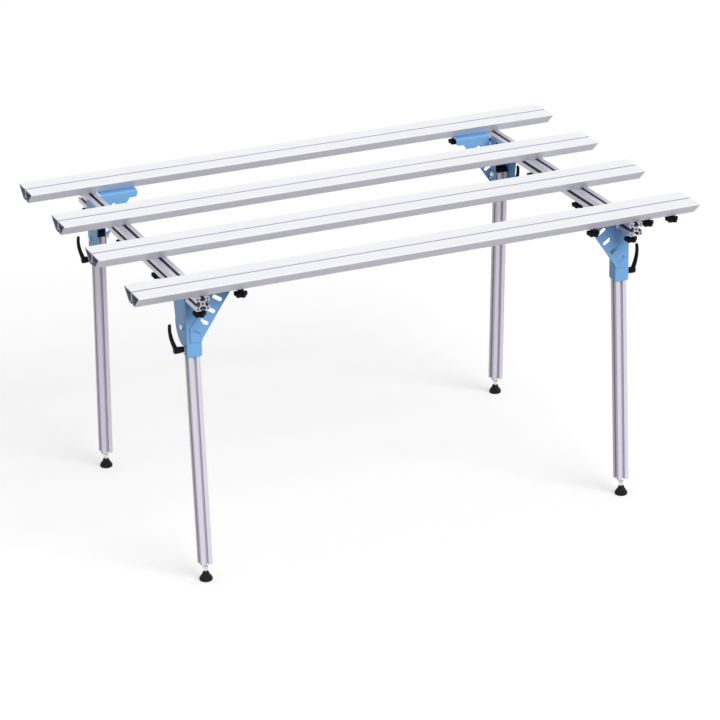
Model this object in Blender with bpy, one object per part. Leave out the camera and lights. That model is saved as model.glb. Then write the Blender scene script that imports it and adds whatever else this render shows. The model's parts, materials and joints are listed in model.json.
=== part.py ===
"""Folding workbench: four flat-topped aluminium bars clamped across two slotted rails,
carried by four slotted legs that hinge in blue sheet-steel brackets.

X runs along the bars, Y across them (front is -Y), Z is up from the floor.
"""

import math

import bmesh
import bpy
from mathutils import Vector

for existing in list(bpy.data.objects):
    bpy.data.objects.remove(existing, do_unlink=True)

# Whole bench, in metres
BENCH_HEIGHT = 0.806
CLEARANCE = 0.0003
CUT_MARGIN = 0.01
LEG_SPLAY = math.radians(3.0)

# Top bars
BAR_LENGTH = 1.500
BAR_TOP_WIDTH = 0.105
BAR_BASE_WIDTH = 0.040
BAR_HEIGHT = 0.032
BAR_EDGE = 0.003
BAR_WALL = 0.0025
BAR_WEB = 0.006
BAR_GROOVE_WIDTH = 0.008
BAR_GROOVE_DEPTH = 0.0014
OUTER_BAR_Y = 0.410
BACK_INNER_BAR_Y = 0.142
FRONT_INNER_BAR_Y = -0.121

# Slotted rails and legs
RAIL_SIZE = 0.035
BAR_OVERHANG = 0.168
RAIL_PAST_BAR = 0.027
RAIL_BORE = 0.0060
RAIL_CORNER_BORE = 0.0048
RAIL_CORNER_SHARE = 0.36
LEG_SIZE = 0.030
SLOT_MOUTH = 0.0086
CORNER_EASE = 0.0012
DRILL_PAST_FLOOR = 0.0015

# Sheet-steel brackets and gussets
SHEET = 0.0025
BEND = 0.004
WEB_BACK_FROM_BAR = 0.0446
OUTBOARD_DEPTH = 0.092
OUTBOARD_RADIUS = 0.0525
OUTBOARD_SHOULDER = 168
INBOARD_DEPTH = 0.031
LIP_DEPTH = 0.0295
LIP_CHAMFER = 0.006
LIP_CHAMFER_HEIGHT = 0.0085
WEB_CORNER = 0.006
STUD_NOTCH = 0.0052
PIVOT_BELOW_RAIL = 0.071
BRACKET_BELOW_PIVOT = 0.0745
BRACKET_BELOW_RAIL_TOP = 0.004
GUSSET_FOLD = 0.005
GUSSET_OUTBOARD = 0.0105
GUSSET_WAIST = 0.105
GUSSET_DROP = 0.142
GUSSET_TAB = 0.0193
GUSSET_REACH = 0.1215
GUSSET_TAB_ROUND = 0.008
GUSSET_NECK = 0.100
GUSSET_TOE = 0.005
GUSSET_SLOPE = 1.21
GUSSET_RAIL_GAP = 0.0045
FLANGE_PAST_BOLT = 0.011
SLOT_COUNT = 4
SLOT_LENGTH = 0.028
SLOT_WIDTH = 0.0100
FIRST_SLOT = (0.0075, 0.121)
LAST_SLOT = (0.0625, 0.0375)

# Fasteners
BOLT_RADIUS = 0.004
HOLE_RADIUS = 0.0044
HEX_FLATS = 0.013
SMALL_HEX_FLATS = 0.011
HEAD_HEIGHT = 0.004
SLOT_HEAD_RADIUS = 0.0066
PIVOT_HEAD_HEIGHT = 0.0053
NUT_HEIGHT = 0.0065
BOLT_PAST_NUT = 0.0025
BUSH_RADIUS = 0.008
COLLAR_RADIUS = 0.007

# Clamp knobs
KNOB_RADIUS = 0.0175
KNOB_VALLEY = 0.0104
KNOB_LOBES = 5
KNOB_HUB_RADIUS = 0.0076
KNOB_HUB_HEIGHT = 0.0095
KNOB_SHOULDER = 0.0020
KNOB_HEIGHT = 0.0232
KNOB_DOME = 0.0030
KNOB_DOME_SHARE = 0.78
FLANGE_KNOB_FROM_RAIL = 0.107
END_KNOB_FROM_END = 0.0515
SECOND_KNOB_FROM_END = 0.1215

# Leg fittings
LEG_ABOVE_PIVOT = 0.006
STUD_BELOW_PIVOT = 0.057
WASHER_RADIUS = 0.010
WASHER_THICKNESS = 0.0016
LEVER_HUB_RADIUS = 0.0086
LEVER_HUB_LENGTH = 0.0245
LEVER_HUB_EASE = 0.0012
LEVER_BORE_DEPTH = 0.0105
LEVER_BORE_PLAY = 0.0003
LEVER_ROOT_FROM_END = 0.0064
LEVER_ROOT_RISE = 0.002
LEVER_RISE = 0.070
LEVER_LEAN = 0.0135
LEVER_BOW = 2.0
LEVER_TIP_ROUND = 0.0022
LEVER_ROOT_HALF = (0.0066, 0.0068)
LEVER_TIP_HALF = (0.0040, 0.0049)
LEVER_STEPS = 6
PAD_RADIUS = 0.017
PAD_HEIGHT = 0.023
PAD_BORE = 0.0056
PAD_FLOOR = 0.010
FOOT_STUD_SHOWN = 0.022
FOOT_STUD_INSIDE = 0.045
FOOT_STUD_IN_PAD = 0.011
FOOT_HEX_BELOW_LEG = 0.008

# Heights and positions that follow from the sizes above
rail_x = BAR_LENGTH / 2 - BAR_OVERHANG
flange_knob_x = rail_x - FLANGE_KNOB_FROM_RAIL
rail_reach = OUTER_BAR_Y + RAIL_PAST_BAR
bar_bottom = BENCH_HEIGHT - BAR_HEIGHT
rail_top = bar_bottom - CLEARANCE
rail_middle = rail_top - RAIL_SIZE / 2
rail_bottom = rail_top - RAIL_SIZE
pivot_z = rail_bottom - PIVOT_BELOW_RAIL
web_outer = OUTER_BAR_Y - WEB_BACK_FROM_BAR
web_inner = web_outer - SHEET
stop_depth = BRACKET_BELOW_PIVOT * math.tan(LEG_SPLAY)
pivot_to_web = LEG_SIZE / 2 / math.cos(LEG_SPLAY) + stop_depth + CLEARANCE
pivot_y = web_inner - pivot_to_web
plate_inner = RAIL_SIZE / 2 + CLEARANCE
plate_outer = plate_inner + SHEET
bracket_bottom = pivot_z - BRACKET_BELOW_PIVOT
bracket_top = rail_top - BRACKET_BELOW_RAIL_TOP
gusset_inner = web_outer + CLEARANCE
gusset_outer = gusset_inner + SHEET
flange_bottom = rail_top - SHEET
under_rail = rail_bottom - CLEARANCE
under_flange = flange_bottom - CLEARANCE
leg_run = pivot_z / math.cos(LEG_SPLAY)
pad_top_run = leg_run - PAD_HEIGHT
leg_end = pad_top_run - FOOT_STUD_SHOWN
cap_radius = pivot_to_web - 2 * CLEARANCE
rail_slot = dict(lip=0.0037, width=0.016, straight=0.0028, floor=0.0085, depth=0.0110)
leg_slot = dict(lip=0.0024, width=0.0162, straight=0.0022, floor=0.007, depth=0.0088)
bar_slot = dict(lip=0.003, width=0.0142, height=0.0062, wall=0.0021)


def finish(name, colour, roughness, metallic):
    material = bpy.data.materials.new(name)
    material.use_nodes = True
    shader = material.node_tree.nodes["Principled BSDF"]
    shader.inputs["Base Color"].default_value = (*colour, 1)
    shader.inputs["Roughness"].default_value = roughness
    shader.inputs["Metallic"].default_value = metallic
    material.diffuse_color = (*colour, 1)
    return material


BAR_ALUMINIUM = finish("bar_aluminium", (0.86, 0.87, 0.89), 0.35, 0.9)
RAIL_ALUMINIUM = finish("rail_aluminium", (0.66, 0.66, 0.70), 0.40, 0.9)
LEG_ALUMINIUM = finish("leg_aluminium", (0.62, 0.62, 0.66), 0.40, 0.9)
BLUE_PAINT = finish("blue_paint", (0.16, 0.38, 0.70), 0.45, 0.0)
BRIGHT_STEEL = finish("bright_steel", (0.72, 0.72, 0.74), 0.25, 1.0)
BLACK_PLASTIC = finish("black_plastic", (0.02, 0.02, 0.022), 0.50, 0.0)


def arc(centre, radius, start, end, steps):
    """Points on an arc, angles in degrees, both ends included."""
    turns = [math.radians(start + (end - start) * i / steps) for i in range(steps + 1)]
    return [(centre[0] + radius * math.cos(t), centre[1] + radius * math.sin(t)) for t in turns]


def circle(radius, steps, centre=(0, 0), start=0):
    return arc(centre, radius, start, start + 360, steps)[:-1]


def hexagon(flats):
    """Twelve points: the six corners and the middles of the six sides."""
    corners = circle(flats / math.sqrt(3), 6)
    middles = circle(flats / 2, 6, start=30)
    return [point for pair in zip(corners, middles) for point in pair]


def prism(bm, outline, low, high, place, holes=()):
    """A closed prism, place(a, b, c) giving the point in space."""
    levels = []
    for c in (low, high):
        rows = [[bm.verts.new(place(a, b, c)) for a, b in loop] for loop in (outline, *holes)]
        rim = [bm.edges.new((row[i - 1], row[i])) for row in rows for i in range(len(row))]
        bmesh.ops.triangle_fill(bm, edges=rim, use_beauty=True)
        levels.append(rows)
    for near, far in zip(*levels):
        for i in range(len(near)):
            bm.faces.new((near[i - 1], near[i], far[i], far[i - 1]))
    return bm


def loft(bm, rings, place):
    """A closed skin over rings of equal count; a ring of one point closes an end."""
    rows = [[bm.verts.new(place(*point)) for point in ring] for ring in rings]
    for near, far in zip(rows, rows[1:]):
        count = max(len(near), len(far))
        for i in range(count):
            a, b = near[(i - 1) % len(near)], near[i % len(near)]
            c, d = far[i % len(far)], far[(i - 1) % len(far)]
            bm.faces.new([v for n, v in enumerate((a, b, c, d)) if v not in (a, b, c, d)[:n]])
    return bm


def turned(bm, profile, steps, place):
    """A turned solid from (radius or outline, height) pairs; radius 0 closes an end."""
    rings = []
    for radius, z in profile:
        if radius == 0:
            rings.append([(0, 0, z)])
            continue
        outline = radius if isinstance(radius, list) else circle(radius, steps)
        rings.append([(a, b, z) for a, b in outline])
    return loft(bm, rings, place)


def solid(name, bm, material, parent=None, location=(0, 0, 0), tilt=(0, 0, 0)):
    bmesh.ops.recalc_face_normals(bm, faces=bm.faces)
    mesh = bpy.data.meshes.new(name)
    bm.to_mesh(mesh)
    bm.free()
    mesh.shade_smooth()
    mesh.set_sharp_from_angle(angle=math.radians(35))
    made = bpy.data.objects.new(name, mesh)
    made.data.materials.append(material)
    made.location = location
    made.rotation_euler = tilt
    made.parent = parent
    bpy.context.scene.collection.objects.link(made)
    return made


def helper(name, bm, parent=None, location=(0, 0, 0), tilt=(0, 0, 0)):
    made = solid(name, bm, BLACK_PLASTIC, parent, location, tilt)
    made.hide_render = True
    made.display_type = "WIRE"
    return made


def combine(target, other, operation):
    step = target.modifiers.new(operation.lower(), "BOOLEAN")
    step.operation = operation
    step.solver = "EXACT"
    step.object = other


def axis_point(name, location, parent=None, tilt=(0, 0, 0)):
    made = bpy.data.objects.new(name, None)
    made.empty_display_size = 0.03
    made.location = location
    made.rotation_euler = tilt
    made.parent = parent
    bpy.context.scene.collection.objects.link(made)
    return made


def plain(x, y, z):
    return Vector((x, y, z))


def slotted_square(size, lip, width, straight, floor, depth):
    """Outline of a square extrusion with a slot on each side and eased corners."""
    half = size / 2
    side = [
        (half, half - CORNER_EASE),
        (half - CORNER_EASE, half),
        (SLOT_MOUTH / 2, half),
        (SLOT_MOUTH / 2, half - lip),
        (width / 2, half - lip),
        (width / 2, half - lip - straight),
        (floor / 2, half - depth),
    ]
    side += [(-a, b) for a, b in reversed(side[2:])]
    outline = []
    for quarter in range(4):
        for a, b in side:
            for _ in range(quarter):
                a, b = -b, a
            outline.append((a, b))
    return outline


# Top bars: hollow extrusions, a groove along the top and a clamp slot underneath.
half_top, half_base = BAR_TOP_WIDTH / 2, BAR_BASE_WIDTH / 2
flare = (half_top - half_base) / (BAR_HEIGHT - BAR_EDGE)
side_wall = BAR_WALL * math.hypot(1, flare)
slot_roof = bar_slot["lip"] + bar_slot["height"]
half_bar = [
    (half_base, 0),
    (half_top, BAR_HEIGHT - BAR_EDGE),
    (half_top, BAR_HEIGHT),
    (BAR_GROOVE_WIDTH / 2, BAR_HEIGHT),
    (BAR_GROOVE_WIDTH / 4, BAR_HEIGHT - BAR_GROOVE_DEPTH),
]
half_slot = [
    (bar_slot["width"] / 2, slot_roof),
    (bar_slot["width"] / 2, bar_slot["lip"]),
    (SLOT_MOUTH / 2, bar_slot["lip"]),
    (SLOT_MOUTH / 2, 0),
]
bar_outline = half_bar + [(-a, b) for a, b in reversed(half_bar)]
bar_outline += [(-a, b) for a, b in reversed(half_slot)] + half_slot
slot_wall = bar_slot["width"] / 2 + bar_slot["wall"]
inside_top = BAR_HEIGHT - BAR_WALL
chamber = [
    (slot_wall, BAR_WALL),
    (half_base + flare * BAR_WALL - side_wall, BAR_WALL),
    (half_base + flare * inside_top - side_wall, inside_top),
    (BAR_WEB / 2, inside_top),
    (BAR_WEB / 2, slot_roof + bar_slot["wall"]),
    (slot_wall, slot_roof + bar_slot["wall"]),
]
chambers = [chamber, [(-a, b) for a, b in chamber]]
BAR_PLACES = {
    "bar_back": OUTER_BAR_Y,
    "bar_back_inner": BACK_INNER_BAR_Y,
    "bar_front_inner": FRONT_INNER_BAR_Y,
    "bar_front": -OUTER_BAR_Y,
}
bars = {}
for bar_name, bar_y in BAR_PLACES.items():
    shape = prism(bmesh.new(), bar_outline, -BAR_LENGTH / 2, BAR_LENGTH / 2,
                  lambda a, b, c: Vector((c, a, b)), chambers)
    bars[bar_name] = solid(bar_name, shape, BAR_ALUMINIUM, location=(0, bar_y, bar_bottom))

# Cross rails: square slotted extrusions, drilled upright where the bars cross them.
rail_outline = slotted_square(RAIL_SIZE, **rail_slot)
corner = RAIL_CORNER_SHARE * RAIL_SIZE
rail_holes = [circle(RAIL_BORE / 2, 8)]
rail_holes += [circle(RAIL_CORNER_BORE / 2, 6, (corner * i, corner * j))
               for i in (-1, 1) for j in (-1, 1)]
core = RAIL_SIZE / 2 - rail_slot["depth"] + DRILL_PAST_FLOOR
for end, end_name in ((-1, "left"), (1, "right")):
    shape = prism(bmesh.new(), rail_outline, -rail_reach, rail_reach,
                  lambda a, b, c: Vector((a, c, b)), rail_holes)
    spot = (end * rail_x, 0, rail_middle)
    rail = solid(f"rail_{end_name}", shape, RAIL_ALUMINIUM, location=spot)
    drills = bmesh.new()
    for bar_y in BAR_PLACES.values():
        prism(drills, circle(HOLE_RADIUS, 8, start=22.5), -core, core,
              lambda a, b, c, y=bar_y: Vector((a, y + b, c)))
    combine(rail, helper(f"rail_{end_name}_drills", drills, location=spot), "DIFFERENCE")

# Star knobs: a slim hub over five lobes, moulded on a bolt whose round head sits in a slot.
steps = 4 * KNOB_LOBES
star = []
for i in range(steps):
    turn = 2 * math.pi * i / steps
    lobe = (0.5 + 0.5 * math.cos(KNOB_LOBES * turn)) ** 0.8
    reach = KNOB_VALLEY + (KNOB_RADIUS - KNOB_VALLEY) * lobe
    star.append((reach * math.cos(turn), reach * math.sin(turn)))
dome = [(KNOB_DOME_SHARE * a, KNOB_DOME_SHARE * b) for a, b in star]


def knob(name, location, seat, parent=None):
    """The hub's top is at the origin, the bolt's head rests at the height seat."""
    profile = [
        (0, -KNOB_HEIGHT),
        (dome, -KNOB_HEIGHT),
        (star, -KNOB_HEIGHT + KNOB_DOME),
        (star, -KNOB_HUB_HEIGHT - KNOB_SHOULDER),
        (KNOB_HUB_RADIUS, -KNOB_HUB_HEIGHT),
        (KNOB_HUB_RADIUS, 0),
        (BOLT_RADIUS, 0),
        (BOLT_RADIUS, seat),
        (SLOT_HEAD_RADIUS, seat),
        (SLOT_HEAD_RADIUS, seat + HEAD_HEIGHT),
        (0, seat + HEAD_HEIGHT),
    ]
    shape = turned(bmesh.new(), profile, steps, plain)
    return solid(name, shape, BLACK_PLASTIC, parent, location)


head_seat = bar_bottom + bar_slot["lip"] + CLEARANCE
for end, end_name in ((-1, "left"), (1, "right")):
    for bar_name, bar_y in BAR_PLACES.items():
        knob(f"knob_{bar_name[4:]}_{end_name}", (end * rail_x, bar_y, under_rail),
             head_seat - under_rail)
    for side, side_name in ((-1, "front"), (1, "back")):
        knob(f"knob_flange_{side_name}_{end_name}",
             (end * flange_knob_x, side * OUTER_BAR_Y, under_flange), head_seat - under_flange)
for knob_name, from_end in (("end", END_KNOB_FROM_END), ("second", SECOND_KNOB_FROM_END)):
    knob(f"knob_bar_{knob_name}", (BAR_LENGTH / 2 - from_end, 0, -CLEARANCE),
         bar_slot["lip"] + 2 * CLEARANCE, bars["bar_front"])

# Brackets: sheet-steel channels that straddle the rail ends and take the leg pivots.
rim = plate_outer
channel = [(rim, 0)]
channel += arc((rim - BEND, web_outer - BEND), BEND, 0, 90, 3)
channel += arc((BEND - rim, web_outer - BEND), BEND, 90, 180, 3)
channel += [(-rim, 0), (-plate_inner, 0)]
channel += arc((BEND - rim, web_outer - BEND), BEND - SHEET, 180, 90, 2)
channel += arc((rim - BEND, web_outer - BEND), BEND - SHEET, 90, 0, 2)
channel += [(plate_inner, 0)]

# What the stamping takes away behind each side plate, in (outward, up). The outboard plate is
# rounded about the pivot so that the clamp stud can swing past it out of its notch.
stud_y = pivot_y + STUD_BELOW_PIVOT * math.sin(LEG_SPLAY)
stud_z = pivot_z - STUD_BELOW_PIVOT * math.cos(LEG_SPLAY)
lip_y = web_outer - LIP_DEPTH
past_top, past_bottom = bracket_top + CUT_MARGIN, bracket_bottom - CUT_MARGIN
notch_turn = 180 + math.degrees(math.asin((pivot_z - stud_z - STUD_NOTCH) / OUTBOARD_RADIUS))
outboard_cut = [(-CUT_MARGIN, past_top), (web_outer - OUTBOARD_DEPTH, past_top)]
outboard_cut += [(web_outer - OUTBOARD_DEPTH, bracket_top)]
outboard_cut += arc((pivot_y, pivot_z), OUTBOARD_RADIUS, OUTBOARD_SHOULDER, notch_turn, 9)
outboard_cut += arc((stud_y, stud_z), STUD_NOTCH, 90, -90, 6)
outboard_cut += [
    (lip_y, stud_z - STUD_NOTCH),
    (lip_y, bracket_bottom + LIP_CHAMFER_HEIGHT),
    (lip_y + LIP_CHAMFER, bracket_bottom),
    (lip_y + LIP_CHAMFER, past_bottom),
    (-CUT_MARGIN, past_bottom),
]
inboard_y = web_outer - INBOARD_DEPTH
inboard_cut = [
    (-CUT_MARGIN, past_top),
    (inboard_y, past_top),
    (inboard_y, bracket_bottom + LIP_CHAMFER),
    (inboard_y + LIP_CHAMFER, bracket_bottom),
    (inboard_y + LIP_CHAMFER, past_bottom),
    (-CUT_MARGIN, past_bottom),
]
web_notch = web_outer - BEND - CLEARANCE
notch_cut = [(web_notch, under_rail), (web_outer + CUT_MARGIN, under_rail),
             (web_outer + CUT_MARGIN, past_top), (web_notch, past_top)]
beside = rim + CUT_MARGIN
turn_in = rim + CLEARANCE - WEB_CORNER
front_outline = [(-beside, past_top), (-beside, bracket_bottom + WEB_CORNER)]
front_outline += arc((-turn_in, bracket_bottom + WEB_CORNER), WEB_CORNER, 180, 270, 3)
front_outline += arc((turn_in, bracket_bottom + WEB_CORNER), WEB_CORNER, 270, 360, 3)
front_outline += [(beside, bracket_bottom + WEB_CORNER), (beside, past_top)]

# Gussets: plates on the brackets' outer faces, folded outward into a flange under the bar.
gusset_low = bar_bottom - GUSSET_DROP
fold_centre = (gusset_inner + GUSSET_FOLD, rail_top - GUSSET_FOLD)
gusset_section = [(gusset_inner, gusset_low - CUT_MARGIN)]
gusset_section += arc(fold_centre, GUSSET_FOLD, 180, 90, 4)
flange_end = OUTER_BAR_Y + FLANGE_PAST_BOLT
gusset_section += [(flange_end, rail_top), (flange_end, flange_bottom)]
gusset_section += arc(fold_centre, GUSSET_FOLD - SHEET, 90, 180, 3)
gusset_section += [(gusset_outer, gusset_low - CUT_MARGIN)]

rail_side = RAIL_SIZE / 2 + GUSSET_RAIL_GAP
shoulder_drop = GUSSET_WAIST - (rail_side + GUSSET_OUTBOARD) * GUSSET_SLOPE
tab_low = bar_bottom - GUSSET_TAB
gusset_outline = [
    (-GUSSET_OUTBOARD, gusset_low),
    (-GUSSET_OUTBOARD, bar_bottom - GUSSET_WAIST),
    (rail_side, bar_bottom - shoulder_drop),
    (rail_side, bar_bottom + CUT_MARGIN),
    (GUSSET_REACH, bar_bottom + CUT_MARGIN),
]
gusset_outline += arc((GUSSET_REACH - GUSSET_TAB_ROUND, tab_low + GUSSET_TAB_ROUND),
                      GUSSET_TAB_ROUND, 0, -90, 3)
gusset_outline += [
    (GUSSET_NECK, tab_low),
    (plate_outer, gusset_low + GUSSET_TOE),
    (plate_outer, gusset_low),
]
band_foot = Vector((FIRST_SLOT[0], bar_bottom - FIRST_SLOT[1]))
band_head = Vector((LAST_SLOT[0], bar_bottom - LAST_SLOT[1]))
band = (band_head - band_foot).normalized()
across = Vector((-band.y, band.x))
across_turn = math.degrees(math.atan2(across.y, across.x))

# Leg parts in the leg's own frame: pivot at the origin, leg hanging along -Z.
leg_outline = slotted_square(LEG_SIZE, **leg_slot)
leg_core = LEG_SIZE / 2 - leg_slot["depth"] + DRILL_PAST_FLOOR
half_leg = LEG_SIZE / 2
cap_low = LEG_ABOVE_PIVOT + CLEARANCE
cap_angle = math.degrees(math.acos(half_leg / cap_radius))
cap_outline = [(-half_leg, cap_low), (half_leg, cap_low)]
cap_outline += arc((0, 0), cap_radius, cap_angle, 180 - cap_angle, 6)

stud_head = half_leg - leg_slot["lip"] - CLEARANCE
collar_low = half_leg + CLEARANCE
collar_high = plate_inner - CLEARANCE
washer_low = plate_outer + CLEARANCE
hub_low = washer_low + WASHER_THICKNESS + CLEARANCE
stud_end = hub_low + LEVER_BORE_DEPTH - LEVER_HUB_EASE
hub_bore = HOLE_RADIUS + LEVER_BORE_PLAY
small_hex = hexagon(SMALL_HEX_FLATS)
STUD_PROFILE = [
    (0, stud_head - HEAD_HEIGHT),
    (small_hex, stud_head - HEAD_HEIGHT),
    (small_hex, stud_head),
    (BOLT_RADIUS, stud_head),
    (BOLT_RADIUS, collar_low),
    (COLLAR_RADIUS, collar_low),
    (COLLAR_RADIUS, collar_high),
    (BOLT_RADIUS, collar_high),
    (BOLT_RADIUS, stud_end),
    (0, stud_end),
]
HUB_PROFILE = [
    (0, LEVER_BORE_DEPTH),
    (hub_bore, LEVER_BORE_DEPTH),
    (hub_bore, 0),
    (LEVER_HUB_RADIUS - LEVER_HUB_EASE, 0),
    (LEVER_HUB_RADIUS, LEVER_HUB_EASE),
    (LEVER_HUB_RADIUS, LEVER_HUB_LENGTH - LEVER_HUB_EASE),
    (LEVER_HUB_RADIUS - LEVER_HUB_EASE, LEVER_HUB_LENGTH),
    (0, LEVER_HUB_LENGTH),
]
PAD_PROFILE = [
    (0, 0),
    (0.92 * PAD_RADIUS, 0),
    (PAD_RADIUS, 0.13 * PAD_HEIGHT),
    (0.97 * PAD_RADIUS, 0.30 * PAD_HEIGHT),
    (0.72 * PAD_RADIUS, 0.57 * PAD_HEIGHT),
    (0.50 * PAD_RADIUS, 0.83 * PAD_HEIGHT),
    (0.44 * PAD_RADIUS, PAD_HEIGHT),
    (PAD_BORE, PAD_HEIGHT),
    (PAD_BORE, PAD_FLOOR),
    (0, PAD_FLOOR),
]
hex_outline = hexagon(HEX_FLATS)
hex_top = -leg_end - FOOT_HEX_BELOW_LEG
stud_foot = -pad_top_run - FOOT_STUD_IN_PAD
FOOT_STUD_PROFILE = [
    (0, -leg_end + FOOT_STUD_INSIDE),
    (BOLT_RADIUS, -leg_end + FOOT_STUD_INSIDE),
    (BOLT_RADIUS, hex_top),
    (hex_outline, hex_top),
    (hex_outline, hex_top - NUT_HEIGHT),
    (BOLT_RADIUS, hex_top - NUT_HEIGHT),
    (BOLT_RADIUS, stud_foot),
    (0, stud_foot),
]

# Pivot bolt along X with its nut and the two spacers that centre the leg.
outer_face = plate_outer + CLEARANCE
spacer_out = plate_inner - CLEARANCE
spacer_in = half_leg + CLEARANCE
nut_end = -outer_face - NUT_HEIGHT
PIVOT_PROFILE = [
    (0, outer_face + PIVOT_HEAD_HEIGHT),
    (hex_outline, outer_face + PIVOT_HEAD_HEIGHT),
    (hex_outline, outer_face),
    (BOLT_RADIUS, outer_face),
    (BOLT_RADIUS, spacer_out),
    (BUSH_RADIUS, spacer_out),
    (BUSH_RADIUS, spacer_in),
    (BOLT_RADIUS, spacer_in),
    (BOLT_RADIUS, -spacer_in),
    (BUSH_RADIUS, -spacer_in),
    (BUSH_RADIUS, -spacer_out),
    (BOLT_RADIUS, -spacer_out),
    (BOLT_RADIUS, -outer_face),
    (hex_outline, -outer_face),
    (hex_outline, nut_end),
    (BOLT_RADIUS, nut_end),
    (BOLT_RADIUS, nut_end - BOLT_PAST_NUT),
    (0, nut_end - BOLT_PAST_NUT),
]

for end, end_name in ((-1, "left"), (1, "right")):
    for side, side_name in ((-1, "front"), (1, "back")):
        label = f"{side_name}_{end_name}"

        def outboard(a, b, c, end=end, side=side):
            """Section in (outward, up), drawn along X away from the rail's middle."""
            return Vector((end * (rail_x + c), side * a, b))

        def plan(a, b, c, end=end, side=side):
            return Vector((end * (rail_x + a), side * b, c))

        def facing(a, b, c, end=end, side=side):
            """Outline in (inboard, up), drawn along Y away from the bench's middle."""
            return Vector((end * (rail_x - a), side * c, b))

        shape = prism(bmesh.new(), channel, past_bottom, bracket_top, plan)
        bracket = solid(f"bracket_{label}", shape, BLUE_PAINT)
        front_shape = prism(bmesh.new(), front_outline, -CUT_MARGIN / 2, web_outer + CUT_MARGIN, facing)
        combine(bracket, helper(f"bracket_{label}_front", front_shape), "INTERSECT")
        cuts = bmesh.new()
        prism(cuts, outboard_cut, CLEARANCE, beside, outboard)
        prism(cuts, inboard_cut, -beside, -CLEARANCE, outboard)
        prism(cuts, notch_cut, -beside, beside, outboard)
        prism(cuts, circle(HOLE_RADIUS, 10, (pivot_y, pivot_z)), -beside, beside, outboard)
        combine(bracket, helper(f"bracket_{label}_cuts", cuts), "DIFFERENCE")

        shape = prism(bmesh.new(), gusset_section, GUSSET_OUTBOARD + CUT_MARGIN,
                      -GUSSET_REACH - CUT_MARGIN, outboard)
        gusset = solid(f"gusset_{label}", shape, BLUE_PAINT)
        edge_shape = prism(bmesh.new(), gusset_outline, web_outer - CUT_MARGIN,
                           flange_end + CUT_MARGIN, facing)
        combine(gusset, helper(f"gusset_{label}_edge", edge_shape), "INTERSECT")
        cuts = bmesh.new()
        reach = across * (SLOT_LENGTH - SLOT_WIDTH) / 2
        for i in range(SLOT_COUNT):
            middle = band_foot.lerp(band_head, i / (SLOT_COUNT - 1))
            obround = arc(middle + reach, SLOT_WIDTH / 2, across_turn - 90, across_turn + 90, 4)
            obround += arc(middle - reach, SLOT_WIDTH / 2, across_turn + 90, across_turn + 270, 4)
            prism(cuts, obround, web_outer - CUT_MARGIN, gusset_outer + CUT_MARGIN, facing)
        prism(cuts, circle(HOLE_RADIUS, 10, (-FLANGE_KNOB_FROM_RAIL, OUTER_BAR_Y)),
              flange_bottom - SHEET, rail_top + SHEET, plan)
        combine(gusset, helper(f"gusset_{label}_cuts", cuts), "DIFFERENCE")

        pin = turned(bmesh.new(), PIVOT_PROFILE, 12, lambda a, b, c, end=end: Vector((end * c, a, b)))
        solid(f"pivot_bolt_{label}", pin, BRIGHT_STEEL,
              location=(end * rail_x, side * pivot_y, pivot_z))

        # Leg and what turns with it.
        pivot = axis_point(f"pivot_{label}", (end * rail_x, side * pivot_y, pivot_z),
                           tilt=(side * LEG_SPLAY, 0, 0))
        shape = prism(bmesh.new(), leg_outline, -leg_end, LEG_ABOVE_PIVOT, plain,
                      [circle(HOLE_RADIUS + CLEARANCE, 8)])
        leg = solid(f"leg_{label}", shape, LEG_ALUMINIUM, pivot)
        drill = prism(bmesh.new(), circle(HOLE_RADIUS, 8, start=22.5), -leg_core, leg_core,
                      lambda a, b, c: Vector((c, a, b)))
        combine(leg, helper(f"leg_{label}_drill", drill, pivot), "DIFFERENCE")
        cap = prism(bmesh.new(), cap_outline, -half_leg, half_leg, lambda a, b, c: Vector((c, a, b)))
        solid(f"leg_cap_{label}", cap, BLACK_PLASTIC, pivot)

        def across_leg(a, b, c, end=end):
            return Vector((end * c, b, a - STUD_BELOW_PIVOT))

        clamp_stud = turned(bmesh.new(), STUD_PROFILE, 12, across_leg)
        solid(f"clamp_stud_{label}", clamp_stud, BRIGHT_STEEL, pivot)
        washer = prism(bmesh.new(), circle(WASHER_RADIUS, 14), washer_low,
                       washer_low + WASHER_THICKNESS, across_leg, [circle(hub_bore, 8)])
        solid(f"clamp_washer_{label}", washer, BRIGHT_STEEL, pivot)

        # Clamp lever: a hub on the stud and a curved handle rising from its outer end.
        spot = (end * hub_low, 0, -STUD_BELOW_PIVOT)
        hub = turned(bmesh.new(), HUB_PROFILE, 12, lambda a, b, c, end=end: Vector((end * c, a, b)))
        lever = solid(f"clamp_lever_{label}", hub, BLACK_PLASTIC, pivot, spot)
        sections = []
        for i in range(LEVER_STEPS + 1):
            t = i / LEVER_STEPS
            out = LEVER_HUB_LENGTH - LEVER_ROOT_FROM_END + LEVER_LEAN * math.sin(LEVER_BOW * t)
            up = LEVER_ROOT_RISE + (LEVER_RISE - LEVER_TIP_ROUND - LEVER_ROOT_RISE) * t
            thick, wide = (tip + (root - tip) * (1 - t) ** 1.5
                           for root, tip in zip(LEVER_ROOT_HALF, LEVER_TIP_HALF))
            sections.append([(out + thick * a, wide * b, up) for a, b in circle(1, 8)])
        root = [(LEVER_HUB_LENGTH - LEVER_ROOT_FROM_END, 0, LEVER_ROOT_RISE)]
        tip = [(out, 0, LEVER_RISE)]
        handle = loft(bmesh.new(), [root, *sections, tip],
                      lambda a, b, c, end=end: Vector((end * a, b, c)))
        combine(lever, helper(f"clamp_lever_{label}_handle", handle, pivot, spot), "UNION")

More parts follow.
